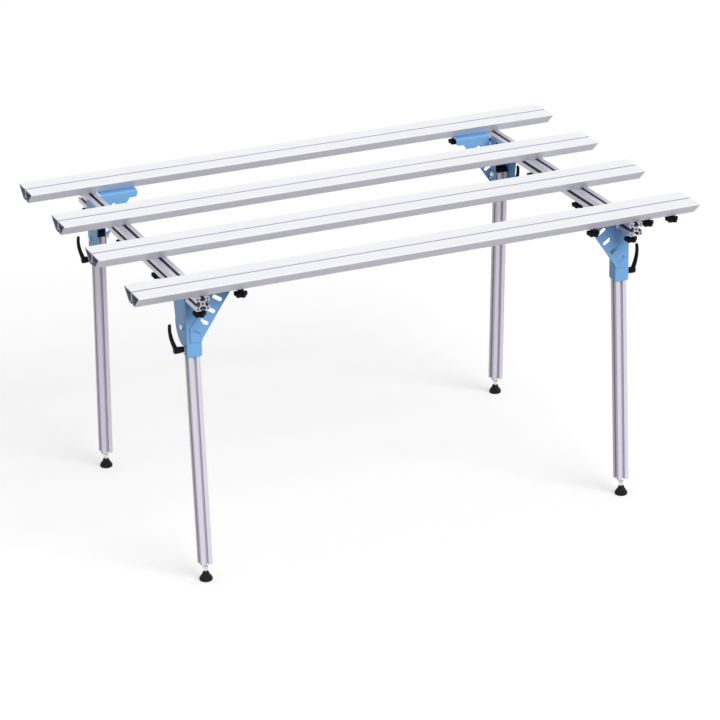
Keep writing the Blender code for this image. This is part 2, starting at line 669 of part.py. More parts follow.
        # Levelling foot: a stud with its own hexagon in the leg's bore, and a level pad.
        stud = turned(bmesh.new(), FOOT_STUD_PROFILE, 12, plain)
        solid(f"foot_stud_{label}", stud, BRIGHT_STEEL, pivot)
        pad = turned(bmesh.new(), PAD_PROFILE, 16, plain)
        solid(f"foot_pad_{label}", pad, BLACK_PLASTIC, pivot, (0, 0, -leg_run),
              (-side * LEG_SPLAY, 0, 0))
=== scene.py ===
"""Finish of a folding workbench: anodised extrusions, blue steel brackets and black clamps.

Every piece is made in its place around the frame, in metres, X along the bars and Z up.
"""

import json
import math

import bmesh
import bpy
from mathutils import Euler, Matrix, Vector

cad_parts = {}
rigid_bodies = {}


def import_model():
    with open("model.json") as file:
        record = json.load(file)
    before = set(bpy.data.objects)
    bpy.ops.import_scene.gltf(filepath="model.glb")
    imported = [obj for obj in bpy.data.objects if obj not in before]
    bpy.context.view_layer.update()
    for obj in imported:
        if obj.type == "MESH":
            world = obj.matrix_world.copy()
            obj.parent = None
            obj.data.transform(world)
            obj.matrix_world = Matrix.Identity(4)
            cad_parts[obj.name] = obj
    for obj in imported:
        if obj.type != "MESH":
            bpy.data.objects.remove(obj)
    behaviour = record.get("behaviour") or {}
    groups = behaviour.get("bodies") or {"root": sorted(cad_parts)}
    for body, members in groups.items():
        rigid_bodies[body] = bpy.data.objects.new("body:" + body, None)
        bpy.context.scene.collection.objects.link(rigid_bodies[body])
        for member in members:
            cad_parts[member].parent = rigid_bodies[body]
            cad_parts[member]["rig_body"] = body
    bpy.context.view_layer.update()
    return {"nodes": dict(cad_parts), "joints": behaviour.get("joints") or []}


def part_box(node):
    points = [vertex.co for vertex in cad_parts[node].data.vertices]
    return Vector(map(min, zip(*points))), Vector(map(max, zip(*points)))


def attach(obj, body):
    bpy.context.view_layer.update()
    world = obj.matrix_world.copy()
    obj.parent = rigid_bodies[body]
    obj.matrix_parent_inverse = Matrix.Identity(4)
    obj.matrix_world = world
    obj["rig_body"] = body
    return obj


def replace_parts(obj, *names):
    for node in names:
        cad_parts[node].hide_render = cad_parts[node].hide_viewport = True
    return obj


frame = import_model()

# Top bars
# Hollow aluminium extrusions with a wide flat top, sides that slope in to a narrow base, a shallow
# groove along the top and a clamp slot underneath. They are sawn to length, satin anodised, and
# held down on the rails by the bolts of the knobs below.


class Wire:
    """An output socket in a node tree, on which sums are written as plain expressions."""

    def __init__(self, sheet, socket):
        self.sheet = sheet
        self.socket = socket

    def other(self, name):
        """Another output of the same node."""
        return Wire(self.sheet, self.socket.node.outputs[name])

    def to(self, operation, *others):
        """A Math node with this wire as its first term."""
        return self.sheet.add("ShaderNodeMath", dict(enumerate((self, *others))),
                              operation=operation)

    def __add__(self, other):
        return self.to("ADD", other)

    def __sub__(self, other):
        return self.to("SUBTRACT", other)

    def __rsub__(self, other):
        return (self * -1).to("ADD", other)

    def __mul__(self, other):
        return self.to("MULTIPLY", other)

    def __truediv__(self, other):
        return self.to("DIVIDE", other)

    def __mod__(self, other):
        return self.to("FLOORED_MODULO", other)

    def __pow__(self, other):
        return self.to("POWER", other)

    __radd__ = __add__
    __rmul__ = __mul__


class Sheet:
    """A node tree that is filled in one node at a time."""

    def __init__(self, tree):
        self.tree = tree

    def add(self, kind, values=None, output=0, **settings):
        """Adds a node: its settings first, then each socket's value, wire or list of wires."""
        node = self.tree.nodes.new(kind)
        for key, setting in settings.items():
            setattr(node, key, setting)
        for key, value in (values or {}).items():
            wires = value if isinstance(value, list) else [value]
            if isinstance(wires[0], Wire):
                for wire in wires:
                    self.tree.links.new(wire.socket, node.inputs[key])
            else:
                node.inputs[key].default_value = value
        return Wire(self, node.outputs[output]) if node.outputs else None

    def blend(self, share, first, second):
        """A colour between two colours."""
        return self.add("ShaderNodeMix", {0: share, 6: first, 7: second}, 2, data_type="RGBA")

    def noise(self, place, scale, detail=2.0):
        return self.add("ShaderNodeTexNoise", {"Vector": place, "Scale": scale, "Detail": detail})

    def stretch(self, place, factors):
        return self.add("ShaderNodeVectorMath", {0: place, 1: factors}, operation="MULTIPLY")

    def ramp(self, value, low, high):
        """Rises from 0 to 1 as the value goes from low to high."""
        return self.add("ShaderNodeMapRange", {"Value": value, "From Min": low, "From Max": high})

    def bump(self, height, distance, strength=1.0):
        return self.add("ShaderNodeBump",
                        {"Height": height, "Distance": distance, "Strength": strength})

    def note(self, name):
        """A named value that was stored on a mesh's points."""
        return self.add("GeometryNodeInputNamedAttribute", {"Name": name}, data_type="FLOAT")

    def store(self, geometry, name, value, data_type="FLOAT", domain="POINT"):
        """Keeps a value on a mesh under a name."""
        return self.add("GeometryNodeStoreNamedAttribute",
                        {"Geometry": geometry, "Name": name, "Value": value},
                        data_type=data_type, domain=domain)

    def rounded(self, outline, steps, radius):
        """A curve with its corners rounded."""
        return self.add("GeometryNodeFilletCurve",
                        {"Curve": outline, "Count": steps, "Radius": radius, "Limit Radius": True},
                        mode="POLY")

    def raised(self, outline, height, fill):
        """A filled curve drawn out along Z, as its near end and the rest."""
        section = self.add("GeometryNodeFillCurve", {"Curve": outline}, mode=fill)
        rest = self.add("GeometryNodeExtrudeMesh",
                        {"Mesh": section, "Offset Scale": height, "Individual": False},
                        mode="FACES")
        return self.add("GeometryNodeFlipFaces", {"Mesh": section}), rest


def shape_tree(name, inputs):
    """A Geometry Nodes tree: its sheet and a wire for each named input."""
    tree = bpy.data.node_groups.new(name, "GeometryNodeTree")
    sockets = tree.interface
    sockets.new_socket("Geometry", in_out="INPUT", socket_type="NodeSocketGeometry")
    for label, kind in inputs.items():
        sockets.new_socket(label, in_out="INPUT", socket_type="NodeSocket" + kind)
    sockets.new_socket("Geometry", in_out="OUTPUT", socket_type="NodeSocketGeometry")
    sheet = Sheet(tree)
    entry = tree.nodes.new("NodeGroupInput")
    return sheet, {socket.name: Wire(sheet, socket) for socket in entry.outputs if socket.name}


def close_shape(sheet, geometry, finish):
    """Ends a tree: joined at its seams, realized and with its finish on."""
    geometry = sheet.add("GeometryNodeMergeByDistance", {"Geometry": geometry, "Distance": SEAM})
    geometry = sheet.add("GeometryNodeRealizeInstances", {"Geometry": geometry})
    geometry = sheet.add("GeometryNodeSetMaterial", {"Geometry": geometry, "Material": finish})
    sheet.add("NodeGroupOutput", {"Geometry": geometry})
    return sheet.tree


def new_object(name, data):
    """An object of the scene."""
    made = bpy.data.objects.new(name, data)
    bpy.context.scene.collection.objects.link(made)
    return made


def dress(mesh, *finishes):
    """Gives a mesh these finishes and no others."""
    mesh.materials.clear()
    for finish in finishes:
        mesh.materials.append(finish)


def grow(tree, start, values):
    """The plain mesh that a tree makes from a start mesh and its named inputs."""
    seed = new_object("seed", start)
    step = seed.modifiers.new("shape", "NODES")
    step.node_group = tree
    for item in tree.interface.items_tree:
        if item.in_out == "INPUT" and item.name in values:
            step[item.identifier] = values[item.name]
    depsgraph = bpy.context.evaluated_depsgraph_get()
    mesh = bpy.data.meshes.new_from_object(seed.evaluated_get(depsgraph),
                                           preserve_all_data_layers=True, depsgraph=depsgraph)
    seed.modifiers.remove(step)
    bpy.data.objects.remove(seed)
    return mesh


def wire_mesh(loops, closed, notes):
    """A flat wire mesh. A point is (across, up), then one value for each named note."""
    wire = bmesh.new()
    layers = [wire.verts.layers.float.new(note) for note in notes]
    for loop in loops:
        row = []
        for across, up, *values in loop:
            vert = wire.verts.new((across, up, 0))
            for layer, value in zip(layers, values):
                vert[layer] = value
            row.append(vert)
        for i in range(0 if closed else 1, len(row)):
            wire.edges.new((row[i - 1], row[i]))
    mesh = bpy.data.meshes.new("wire")
    wire.to_mesh(mesh)
    wire.free()
    return mesh


def extrusion_tree():
    """A rounded profile drawn out along Z. Marked for the finish: the sawn ends, the place along
    the length, and how deep a point lies inside the straight sleeve that would just fit over it."""
    sheet, given = shape_tree("extrusion", {"Length": "Float", "Round Steps": "Int",
                                            "Finish": "Material"})
    outline = sheet.add("GeometryNodeMeshToCurve", {"Mesh": given["Geometry"]})
    outline = sheet.rounded(outline, given["Round Steps"], sheet.note("rounding"))
    near_end, drawn = sheet.raised(outline, given["Length"], "TRIANGLES")
    marked = [sheet.store(mesh, "sawn", mark, domain="FACE")
              for mesh, mark in ((drawn, drawn.other("Top")), (near_end, 1.0))]
    joined = sheet.add("GeometryNodeJoinGeometry", {"Geometry": marked})
    place = sheet.add("GeometryNodeInputPosition")
    kept = sheet.store(joined, "along", place, data_type="FLOAT_VECTOR")
    # The sleeve goes one length past both ends, so that only its sides are near
    sleeve = sheet.add("GeometryNodeConvexHull", {"Geometry": drawn})
    shift = sheet.add("ShaderNodeCombineXYZ", {"Z": given["Length"] * -1})
    sleeve = sheet.add("GeometryNodeTransform",
                       {"Geometry": sleeve, "Translation": shift, "Scale": (1, 1, 3)})
    recess = sheet.add("GeometryNodeProximity", {0: sleeve}, "Distance", target_element="FACES")
    return close_shape(sheet, sheet.store(kept, "recess", recess), given["Finish"])


def new_finish(name):
    material = bpy.data.materials.new(name)
    material.use_nodes = True
    material.node_tree.nodes.clear()
    return material, Sheet(material.node_tree)


def close_finish(sheet, values):
    shader = sheet.add("ShaderNodeBsdfPrincipled", values)
    sheet.add("ShaderNodeOutputMaterial", {"Surface": shader})


def tint(colour, factor=1.0, lift=0.0):
    """An opaque colour, as it is, darkened or paled."""
    return [min(1, factor * c + lift) for c in colour] + [1]


def anodised(name, colour, painted_groove_tone, painted_slot_tone, metallic, roughness):
    """Drawn aluminium: die lines along its length, cloudy anodising, handling marks, saw marks,
    duller in its recesses, with light and shade painted into them: one painted tone for shallow
    grooves and one for slots and chambers."""
    material, sheet = new_finish(name)
    along, sawn, recess = (
        sheet.add("ShaderNodeAttribute", output=output, attribute_name=mark)
        for mark, output in (("along", "Vector"), ("sawn", "Fac"), ("recess", "Fac")))
    # Painted shade and light: grooves, then slots and chambers, take a painted tone in place of the
    # light that falls in them
    inside = sheet.ramp(recess, *GROOVE_DEPTHS) * (1 - sawn)
    deep = sheet.ramp(recess, *SLOT_DEPTHS)
    painted_recess_tone = sheet.blend(deep, tint(painted_groove_tone), tint(painted_slot_tone))
    die_lines = sheet.noise(sheet.stretch(along, (1, 1, 0.004)), scale=850, detail=3)
    hairlines = sheet.noise(sheet.stretch(along, (1, 1, 0.02)), scale=3200)
    clouds = sheet.noise(along, scale=14, detail=4)
    handling = sheet.noise(sheet.stretch(along, (1, 1, 0.25)), scale=160, detail=6)
    marks = sheet.ramp(handling, low=0.66, high=0.74)
    saw_lines = sheet.noise(sheet.stretch(along, (0.08, 1, 1)), scale=2600)
    tone = 0.55 * die_lines + 0.2 * hairlines + 0.25 * clouds
    drawn_colour = sheet.blend(sheet.ramp(tone, low=0.3, high=0.7), tint(colour, factor=0.90),
                               tint(colour))
    used_colour = sheet.blend(marks * 0.35, drawn_colour, tint(colour, factor=0.78))
    cut_colour = tint(colour, factor=0.72)
    sawn_roughness = 0.30 + 0.25 * saw_lines
    drawn_roughness = roughness - 0.09 + 0.12 * die_lines + 0.06 * clouds + 0.10 * marks
    surface = 0.6 * die_lines + 0.4 * hairlines - 0.5 * marks
    close_finish(sheet, {
        "Base Color": sheet.blend(inside, sheet.blend(sawn, used_colour, cut_colour),
                                  painted_recess_tone),
        "Metallic": metallic * (1 - inside),
        "Roughness": drawn_roughness * (1 - sawn) + sawn_roughness * sawn + 0.2 * inside,
        "Normal": sheet.bump(surface * (1 - sawn) + saw_lines * sawn, distance=0.00006,
                             strength=0.5),
    })
    return material


def show(name, mesh, node):
    """Makes a mesh a piece that rides with a node's body."""
    mesh.name = name
    mesh.shade_smooth()
    mesh.set_sharp_from_angle(angle=CREASE)
    piece = new_object(name, mesh)
    shading = piece.modifiers.new("even_shading", "WEIGHTED_NORMAL")
    shading.keep_sharp = True
    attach(piece, frame["nodes"][node]["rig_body"])
    return piece


def axes(across, up, along, origin):
    """A placing matrix from three axes and an origin."""
    return Matrix.LocRotScale(origin, None, None) @ Matrix((across, up, along)).transposed().to_4x4()


SEAM = 0.000002
CREASE = math.radians(40)
# How deep inside the sleeve the painted recess tones come in: the groove tone, then the slot tone
GROOVE_DEPTHS = (0.0001, 0.0006)
SLOT_DEPTHS = (0.0016, 0.0024)
EXTRUSION = extrusion_tree()


def extruded(loops, length, round_steps, finish):
    """A profile of closed loops, drawn out along Z."""
    return grow(EXTRUSION, wire_mesh(loops, True, ["rounding"]),
                {"Length": length, "Round Steps": round_steps, "Finish": finish})


def mirrored(points):
    """The other half of an outline, in the order that goes on from this one."""
    return [(-across, *rest) for across, *rest in reversed(points)]


SLOT_MOUTH = 0.0086
BAR_WALL = 0.0025
BAR_EDGE = 0.003
BAR_BASE_WIDTH = 0.040
BAR_WEB = 0.006
BAR_GROOVE_WIDTH = 0.008
BAR_GROOVE_DEPTH = 0.0014
BAR_SLOT_LIP = 0.003
BAR_SLOT_WIDTH = 0.0142
BAR_SLOT_ROOF = 0.0092
BAR_SLOT_WALL = 0.0021
BAR_CORNER = 0.0007
BAR_ROUND_STEPS = 3
GROOVE_EDGE = 0.0003
GROOVE_BED = 0.0004
BAR_SLOT_CORNER = 0.0005
BAR_SLOT_LIP_EDGE = 0.0003
BAR_SLOT_MOUTH_EDGE = 0.0004
CHAMBER_WEB_CORNER = 0.0015
CHAMBER_CORNER = 0.0010
CHAMBER_SLOT_CORNER = 0.0006
# Painted shade: the groove, slot and chambers are painted a dark blue-grey in place of their shade
BAR_FINISH = anodised("satin_bar_aluminium", (0.91, 0.92, 0.95), painted_groove_tone=(0.30, 0.32, 0.42),
                      painted_slot_tone=(0.34, 0.36, 0.50), metallic=0.15, roughness=0.42)
BARS = ("bar_back", "bar_back_inner", "bar_front_inner", "bar_front")

bar_low, bar_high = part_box("bar_front")
bar_length, bar_top_width, bar_height = bar_high - bar_low
flare = (bar_top_width - BAR_BASE_WIDTH) / 2 / (bar_height - BAR_EDGE)
side_wall = BAR_WALL * math.hypot(1, flare)
half_bar = [
    (BAR_BASE_WIDTH / 2, 0, BAR_CORNER),
    (bar_top_width / 2, bar_height - BAR_EDGE, BAR_CORNER),
    (bar_top_width / 2, bar_height, BAR_CORNER),
    (BAR_GROOVE_WIDTH / 2, bar_height, GROOVE_EDGE),
    (BAR_GROOVE_WIDTH / 4, bar_height - BAR_GROOVE_DEPTH, GROOVE_BED),
]
half_slot = [
    (BAR_SLOT_WIDTH / 2, BAR_SLOT_ROOF, BAR_SLOT_CORNER),
    (BAR_SLOT_WIDTH / 2, BAR_SLOT_LIP, BAR_SLOT_LIP_EDGE),
    (SLOT_MOUTH / 2, BAR_SLOT_LIP, BAR_SLOT_LIP_EDGE),
    (SLOT_MOUTH / 2, 0, BAR_SLOT_MOUTH_EDGE),
]
slot_wall = BAR_SLOT_WIDTH / 2 + BAR_SLOT_WALL
inside_top = bar_height - BAR_WALL
chamber = [
    (slot_wall, BAR_WALL, CHAMBER_SLOT_CORNER),
    (BAR_BASE_WIDTH / 2 + flare * BAR_WALL - side_wall, BAR_WALL, CHAMBER_CORNER),
    (BAR_BASE_WIDTH / 2 + flare * inside_top - side_wall, inside_top, CHAMBER_CORNER),
    (BAR_WEB / 2, inside_top, CHAMBER_WEB_CORNER),
    (BAR_WEB / 2, BAR_SLOT_ROOF + BAR_SLOT_WALL, CHAMBER_CORNER),
    (slot_wall, BAR_SLOT_ROOF + BAR_SLOT_WALL, CHAMBER_SLOT_CORNER),
]
bar_loops = [half_bar + mirrored(half_bar) + mirrored(half_slot) + half_slot,
             chamber, mirrored(chamber)]
for bar in BARS:
    low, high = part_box(bar)
    mesh = extruded(bar_loops, bar_length, BAR_ROUND_STEPS, BAR_FINISH)
    mesh.transform(axes((0, 1, 0), (0, 0, 1), (1, 0, 0), (low.x, (low.y + high.y) / 2, low.z)))
    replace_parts(show(f"extruded_{bar}", mesh, bar), bar)

# Cross rails
# Two square extrusions of natural anodised aluminium with a slot on each side, a bore in the
# middle and one in each corner. The bars lie across them, and the brackets straddle their ends.
RAIL_CORNER = 0.0015
RAIL_BORE = 0.0060
RAIL_CORNER_BORE = 0.0048
RAIL_CORNER_BORE_PLACE = 0.36
RAIL_SLOT = {"lip": 0.0037, "width": 0.016, "straight": 0.0028, "floor": 0.0085, "depth": 0.0110}
SLOT_MOUTH_EDGE = 0.0005
SLOT_LIP_EDGE = 0.0003
SLOT_LIP_CORNER = 0.0004
SLOT_FLOOR_CORNER = 0.0008
SQUARE_ROUND_STEPS = 4
# Painted shade: the rail's slots and bores are painted dark grey to near black in place of their
# shade
RAIL_FINISH = anodised("natural_rail_aluminium", (0.72, 0.71, 0.79),
                       painted_groove_tone=(0.24, 0.25, 0.30), painted_slot_tone=(0.17, 0.18, 0.22),
                       metallic=0.45, roughness=0.31)


def slotted_square(size, corner, lip, width, straight, floor, depth):
    """Outline of a square extrusion with the same slot on each side."""
    half = size / 2
    half_side = [
        (SLOT_MOUTH / 2, half, SLOT_MOUTH_EDGE),
        (SLOT_MOUTH / 2, half - lip, SLOT_LIP_EDGE),
        (width / 2, half - lip, SLOT_LIP_CORNER),
        (width / 2, half - lip - straight, SLOT_FLOOR_CORNER),
        (floor / 2, half - depth, SLOT_FLOOR_CORNER),
    ]
    side = [(half, half, corner), *half_side, *mirrored(half_side)]
    outline = []
    for quarter in range(4):
        turn = Matrix.Rotation(math.radians(90 * quarter), 2)
        outline += [(*(turn @ Vector((across, up))), radius) for across, up, radius in side]
    return outline


def bore(diameter, across=0.0, up=0.0):
    """A round hole, drawn as a square whose corners are rounded until they meet."""
    half = diameter / 2
    return [(across + i * half, up + j * half, half)
            for i, j in ((1, 1), (-1, 1), (-1, -1), (1, -1))]


rail_low, rail_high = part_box("rail_left")
rail_length, rail_size = rail_high.y - rail_low.y, rail_high.z - rail_low.z
corner = RAIL_CORNER_BORE_PLACE * rail_size
rail_loops = [slotted_square(rail_size, RAIL_CORNER, **RAIL_SLOT), bore(RAIL_BORE)]
rail_loops += [bore(RAIL_CORNER_BORE, i * corner, j * corner) for i in (-1, 1) for j in (-1, 1)]
for rail in ("rail_left", "rail_right"):
    low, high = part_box(rail)
    mesh = extruded(rail_loops, rail_length, SQUARE_ROUND_STEPS, RAIL_FINISH)
    middle = (low + high) / 2
    mesh.transform(axes((0, 0, 1), (1, 0, 0), (0, 1, 0), (middle.x, low.y, middle.z)))
    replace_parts(show(f"extruded_{rail}", mesh, rail), rail)

# Brackets
# Channels bent from steel sheet, powder coated blue. They straddle the rail ends and hold the leg
# pivots between their sides. The outboard side is deep, rounded about the pivot, and notched where
# the clamp stud closes on it; the inboard side is a plain strip.
SHEET = 0.0025
BEND = 0.004
BEND_STEP = 10
OUTBOARD_RADIUS = 0.0525
OUTBOARD_STEP = 4
SHOULDER_TURN = 168
INBOARD_DEPTH = 0.031
LIP_DEPTH = 0.0295
LIP_CHAMFER = 0.006
LIP_CHAMFER_HEIGHT = 0.0085
WEB_EASE = 0.006
PIVOT_HOLE = 0.0044
STUD_BELOW_PIVOT = 0.057
STUD_NOTCH = 0.0052
HOLE_STEP = 15
PRESSED_EDGE = 0.0004
PRESSED_JOIN = 0.0005
PRESSED_FLAT = math.radians(0.2)
CUT_SPARE = 0.02
ENDS = {"left": -1, "right": 1}
SIDES = {"front": -1, "back": 1}
LABELS = [(f"{side}_{end}", ENDS[end], SIDES[side]) for end in ENDS for side in SIDES]
JOINTS = {joint["name"]: joint for joint in frame["joints"]}


def powder_coat(name, colour, worn):
    """Sprayed paint with a fine orange peel; worn edges are paler, as wear and as a painted edge
    highlight, with bare metal in places.
    """
    material, sheet = new_finish(name)
    place = sheet.add("ShaderNodeTexCoord", output="Object")
    peel = sheet.noise(place, scale=620)
    clouds = sheet.noise(place, scale=26, detail=4)
    handling = sheet.noise(sheet.stretch(place, (1, 1, 0.3)), scale=210, detail=6)
    scuffs = sheet.ramp(handling, low=0.64, high=0.72)
    knocks = sheet.noise(place, scale=340, detail=5)
    chips = sheet.ramp(knocks, low=0.60 - 0.18 * worn, high=0.66 - 0.18 * worn)
    sprayed = sheet.ramp(clouds, low=0.3, high=0.7)
    coat = sheet.blend(sprayed, tint(colour, factor=0.93), tint(colour))
    # Worn edges are paled towards light blue: part wear, part a painted highlight along every edge
    coat = sheet.blend(scuffs * 0.16 + 0.30 * worn, coat, tint(colour, factor=0.75, lift=0.22))
    bare = chips * worn * 0.55
    close_finish(sheet, {
        "Base Color": sheet.blend(bare, coat, tint(BARE_STEEL)),
        "Metallic": bare,
        "Roughness": 0.40 + 0.10 * clouds + 0.14 * scuffs - 0.10 * bare,
        "Specular IOR Level": 0.42,
        "Normal": sheet.bump(peel + 0.3 * scuffs, distance=0.00008, strength=0.35),
    })
    return material


def arc(centre, radius, start, end, step=6):
    """Points on an arc, both ends included, angles in degrees."""
    count = max(2, math.ceil(abs(end - start) / step))
    turns = [math.radians(start + (end - start) * i / count) for i in range(count + 1)]
    return [(centre[0] + radius * math.cos(t), centre[1] + radius * math.sin(t)) for t in turns]


def circle(centre, radius):
    """Points round a whole circle."""
    return arc(centre, radius, 0, 360 - HOLE_STEP, HOLE_STEP)


def prism(outline, low, high, place):
    """A closed prism; place gives the point in space."""
    shape = bmesh.new()
    rings = [[shape.verts.new(place(a, b, c)) for a, b in outline] for c in (low, high)]
    for ring in rings:
        shape.faces.new(ring)
    for i in range(len(outline)):
        shape.faces.new((rings[0][i - 1], rings[0][i], rings[1][i], rings[1][i - 1]))
    return shape


def blank(shape):
    """A throwaway object from a bmesh, faces outward."""
    bmesh.ops.recalc_face_normals(shape, faces=shape.faces)
    mesh = bpy.data.meshes.new("blank")
    shape.to_mesh(mesh)
    shape.free()
    return new_object("blank", mesh)


def cleaned(mesh, place):
    """Moves a mesh to its place, without slivers and with its faces outward."""
    shape = bmesh.new()
    shape.from_mesh(mesh)
    bmesh.ops.remove_doubles(shape, verts=shape.verts, dist=SEAM)
    bmesh.ops.dissolve_degenerate(shape, edges=shape.edges, dist=SEAM)
    shape.transform(place)
    if shape.calc_volume(signed=True) < 0:
        bmesh.ops.reverse_faces(shape, faces=shape.faces)
    shape.to_mesh(mesh)
    shape.free()


def bevelled(made, width, segments):
    """Rounds an object's sharp edges; gives the modifier."""
    ease = made.modifiers.new("ease", "BEVEL")
    ease.width = width
    ease.segments = segments
    ease.limit_method = "ANGLE"
    ease.angle_limit = CREASE
    return ease


def plain_mesh(made):
    """The mesh that an object's modifiers make."""
    depsgraph = bpy.context.evaluated_depsgraph_get()
    return bpy.data.meshes.new_from_object(made.evaluated_get(depsgraph))


def pressed(sheet_metal, cuts):
    """Cuts a blank with each (operation, other) and eases its edges; gives the painted mesh."""
    for operation, other in cuts:
        step = sheet_metal.modifiers.new(operation, "BOOLEAN")
        step.operation = operation
        step.solver = "EXACT"
        step.object = other
    tidy = sheet_metal.modifiers.new("tidy", "DECIMATE")
    tidy.decimate_type = "DISSOLVE"
    tidy.angle_limit = PRESSED_FLAT
    join = sheet_metal.modifiers.new("join", "WELD")
    join.merge_threshold = PRESSED_JOIN
    ease = bevelled(sheet_metal, PRESSED_EDGE, segments=2)
    ease.use_clamp_overlap = False
    # Bevelled edges take the second finish: paler as wear and as a painted highlight
    ease.material = 1
    dress(sheet_metal.data, *BLUE_FINISHES)
    mesh = plain_mesh(sheet_metal)
    for used in [sheet_metal] + [other for _, other in cuts]:
        bpy.data.objects.remove(used)
    dress(mesh, *BLUE_FINISHES)
    cleaned(mesh, Matrix.Identity(4))
    return mesh


BLUE = (0.195, 0.435, 0.745)
BARE_STEEL = (0.55, 0.57, 0.60)
# The second finish, on the bevelled edges, is paler: part wear, part a painted edge highlight
BLUE_FINISHES = [powder_coat("blue_powder_coat", BLUE, worn=0.0),
                 powder_coat("worn_and_highlit_blue_edge", BLUE, worn=1.0)]

bracket_low, bracket_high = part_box("bracket_back_right")
rail_x = (bracket_low.x + bracket_high.x) / 2
plate_outer = (bracket_high.x - bracket_low.x) / 2
plate_inner = plate_outer - SHEET
web_outer = bracket_high.y
side_reach = bracket_low.y
pivot_y, pivot_z = JOINTS["fold_back_right"]["pos_m"][1:]
leg_down = Vector(JOINTS["level_back_right"]["axis"])
stud_y = pivot_y + STUD_BELOW_PIVOT * leg_down.y
stud_z = pivot_z + STUD_BELOW_PIVOT * leg_down.z
lip_y = web_outer - LIP_DEPTH
notch_turn = 180 + math.degrees(math.asin((pivot_z - stud_z - STUD_NOTCH) / OUTBOARD_RADIUS))
past_top, past_low = bracket_high.z + CUT_SPARE, bracket_low.z - CUT_SPARE
past_web = web_outer + CUT_SPARE

channel = [(plate_outer, 0)]
channel += arc((plate_outer - BEND, web_outer - BEND), BEND, 0, 90, BEND_STEP)
channel += arc((BEND - plate_outer, web_outer - BEND), BEND, 90, 180, BEND_STEP)
channel += [(-plate_outer, 0), (-plate_inner, 0)]
channel += arc((BEND - plate_outer, web_outer - BEND), BEND - SHEET, 180, 90, BEND_STEP)
channel += arc((plate_outer - BEND, web_outer - BEND), BEND - SHEET, 90, 0, BEND_STEP)
channel += [(plate_inner, 0)]
outboard_cut = [(-CUT_SPARE, past_top), (side_reach, past_top), (side_reach, bracket_high.z)]
outboard_cut += arc((pivot_y, pivot_z), OUTBOARD_RADIUS, SHOULDER_TURN, notch_turn, OUTBOARD_STEP)
outboard_cut += arc((stud_y, stud_z), STUD_NOTCH, 90, -90, BEND_STEP)
outboard_cut += [
    (lip_y, stud_z - STUD_NOTCH),
    (lip_y, bracket_low.z + LIP_CHAMFER_HEIGHT),
    (lip_y + LIP_CHAMFER, bracket_low.z),
    (lip_y + LIP_CHAMFER, past_low),
    (-CUT_SPARE, past_low),
]
inboard_y = web_outer - INBOARD_DEPTH
inboard_cut = [
    (-CUT_SPARE, past_top),
    (inboard_y, past_top),
    (inboard_y, bracket_low.z + LIP_CHAMFER),
    (inboard_y + LIP_CHAMFER, bracket_low.z),
    (inboard_y + LIP_CHAMFER, past_low),
    (-CUT_SPARE, past_low),
]
web_side = plate_outer + CUT_SPARE
web_round = plate_outer + PRESSED_EDGE - WEB_EASE
front_outline = [(-web_side, past_top), (-web_side, bracket_low.z + WEB_EASE)]
front_outline += arc((-web_round, bracket_low.z + WEB_EASE), WEB_EASE, 180, 270)
front_outline += arc((web_round, bracket_low.z + WEB_EASE), WEB_EASE, 270, 360)
front_outline += [(web_side, bracket_low.z + WEB_EASE), (web_side, past_top)]
notch_back = web_outer - BEND - PRESSED_EDGE
under_rail = rail_low.z - PRESSED_EDGE
rail_notch = [(notch_back, under_rail), (past_web, under_rail), (past_web, past_top),
              (notch_back, past_top)]


def placers(end, side, away):
    """How an outline is raised at one corner: in plan along Z, in profile along X, on the face
    along Y. X starts at the rail. In plan and profile it leads outboard with away at 1 and inboard
    with -1; on the face it leads inboard."""

    def plan(a, b, c):
        return end * (rail_x + away * a), side * b, c

    def profile(a, b, c):
        return end * (rail_x + away * c), side * a, b

    def face(a, b, c):
        return end * (rail_x - a), side * c, b

    return plan, profile, face


for label, end, side in LABELS:
    plan, profile, face = placers(end, side, 1)
    bent = blank(prism(channel, past_low, bracket_high.z, plan))
    fronts = blank(prism(front_outline, -CUT_SPARE / 2, past_web, face))
    cuts = [(outboard_cut, SHEET, web_side), (inboard_cut, -web_side, -SHEET),
            (rail_notch, -web_side, web_side),
            (circle((pivot_y, pivot_z), PIVOT_HOLE), -web_side, web_side)]
    steps = [("INTERSECT", fronts)]
    steps += [("DIFFERENCE", blank(prism(*cut, profile))) for cut in cuts]
    mesh = pressed(bent, steps)
    node = f"bracket_{label}"
    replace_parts(show(f"pressed_{node}", mesh, node), node)

# Gussets
# Plates of the same blue sheet on the brackets' outer faces, folded outward into a flange that a
# knob clamps under the outer bar. A row of plain slots is punched along the slanted band.
FOLD = 0.005
GUSSET_WAIST = 0.105
GUSSET_SLOPE = 1.21
GUSSET_RAIL_GAP = 0.0045
GUSSET_TAB = 0.0193
GUSSET_TAB_ROUND = 0.008
GUSSET_NECK = 0.100
GUSSET_FOOT = 0.005
FLANGE_BOLT_FROM_RAIL = 0.107
BAND_FOOT = Vector((0.0075, 0.121))
BAND_HEAD = Vector((0.0625, 0.0375))
BAND_SLOTS = 4
BAND_SLOT_LENGTH = 0.028
BAND_SLOT_WIDTH = 0.0100
BAND_SLOT_STEPS = 6
PUNCH_DEPTH = 4 * SHEET
NEARLY_HALF = 0.4999


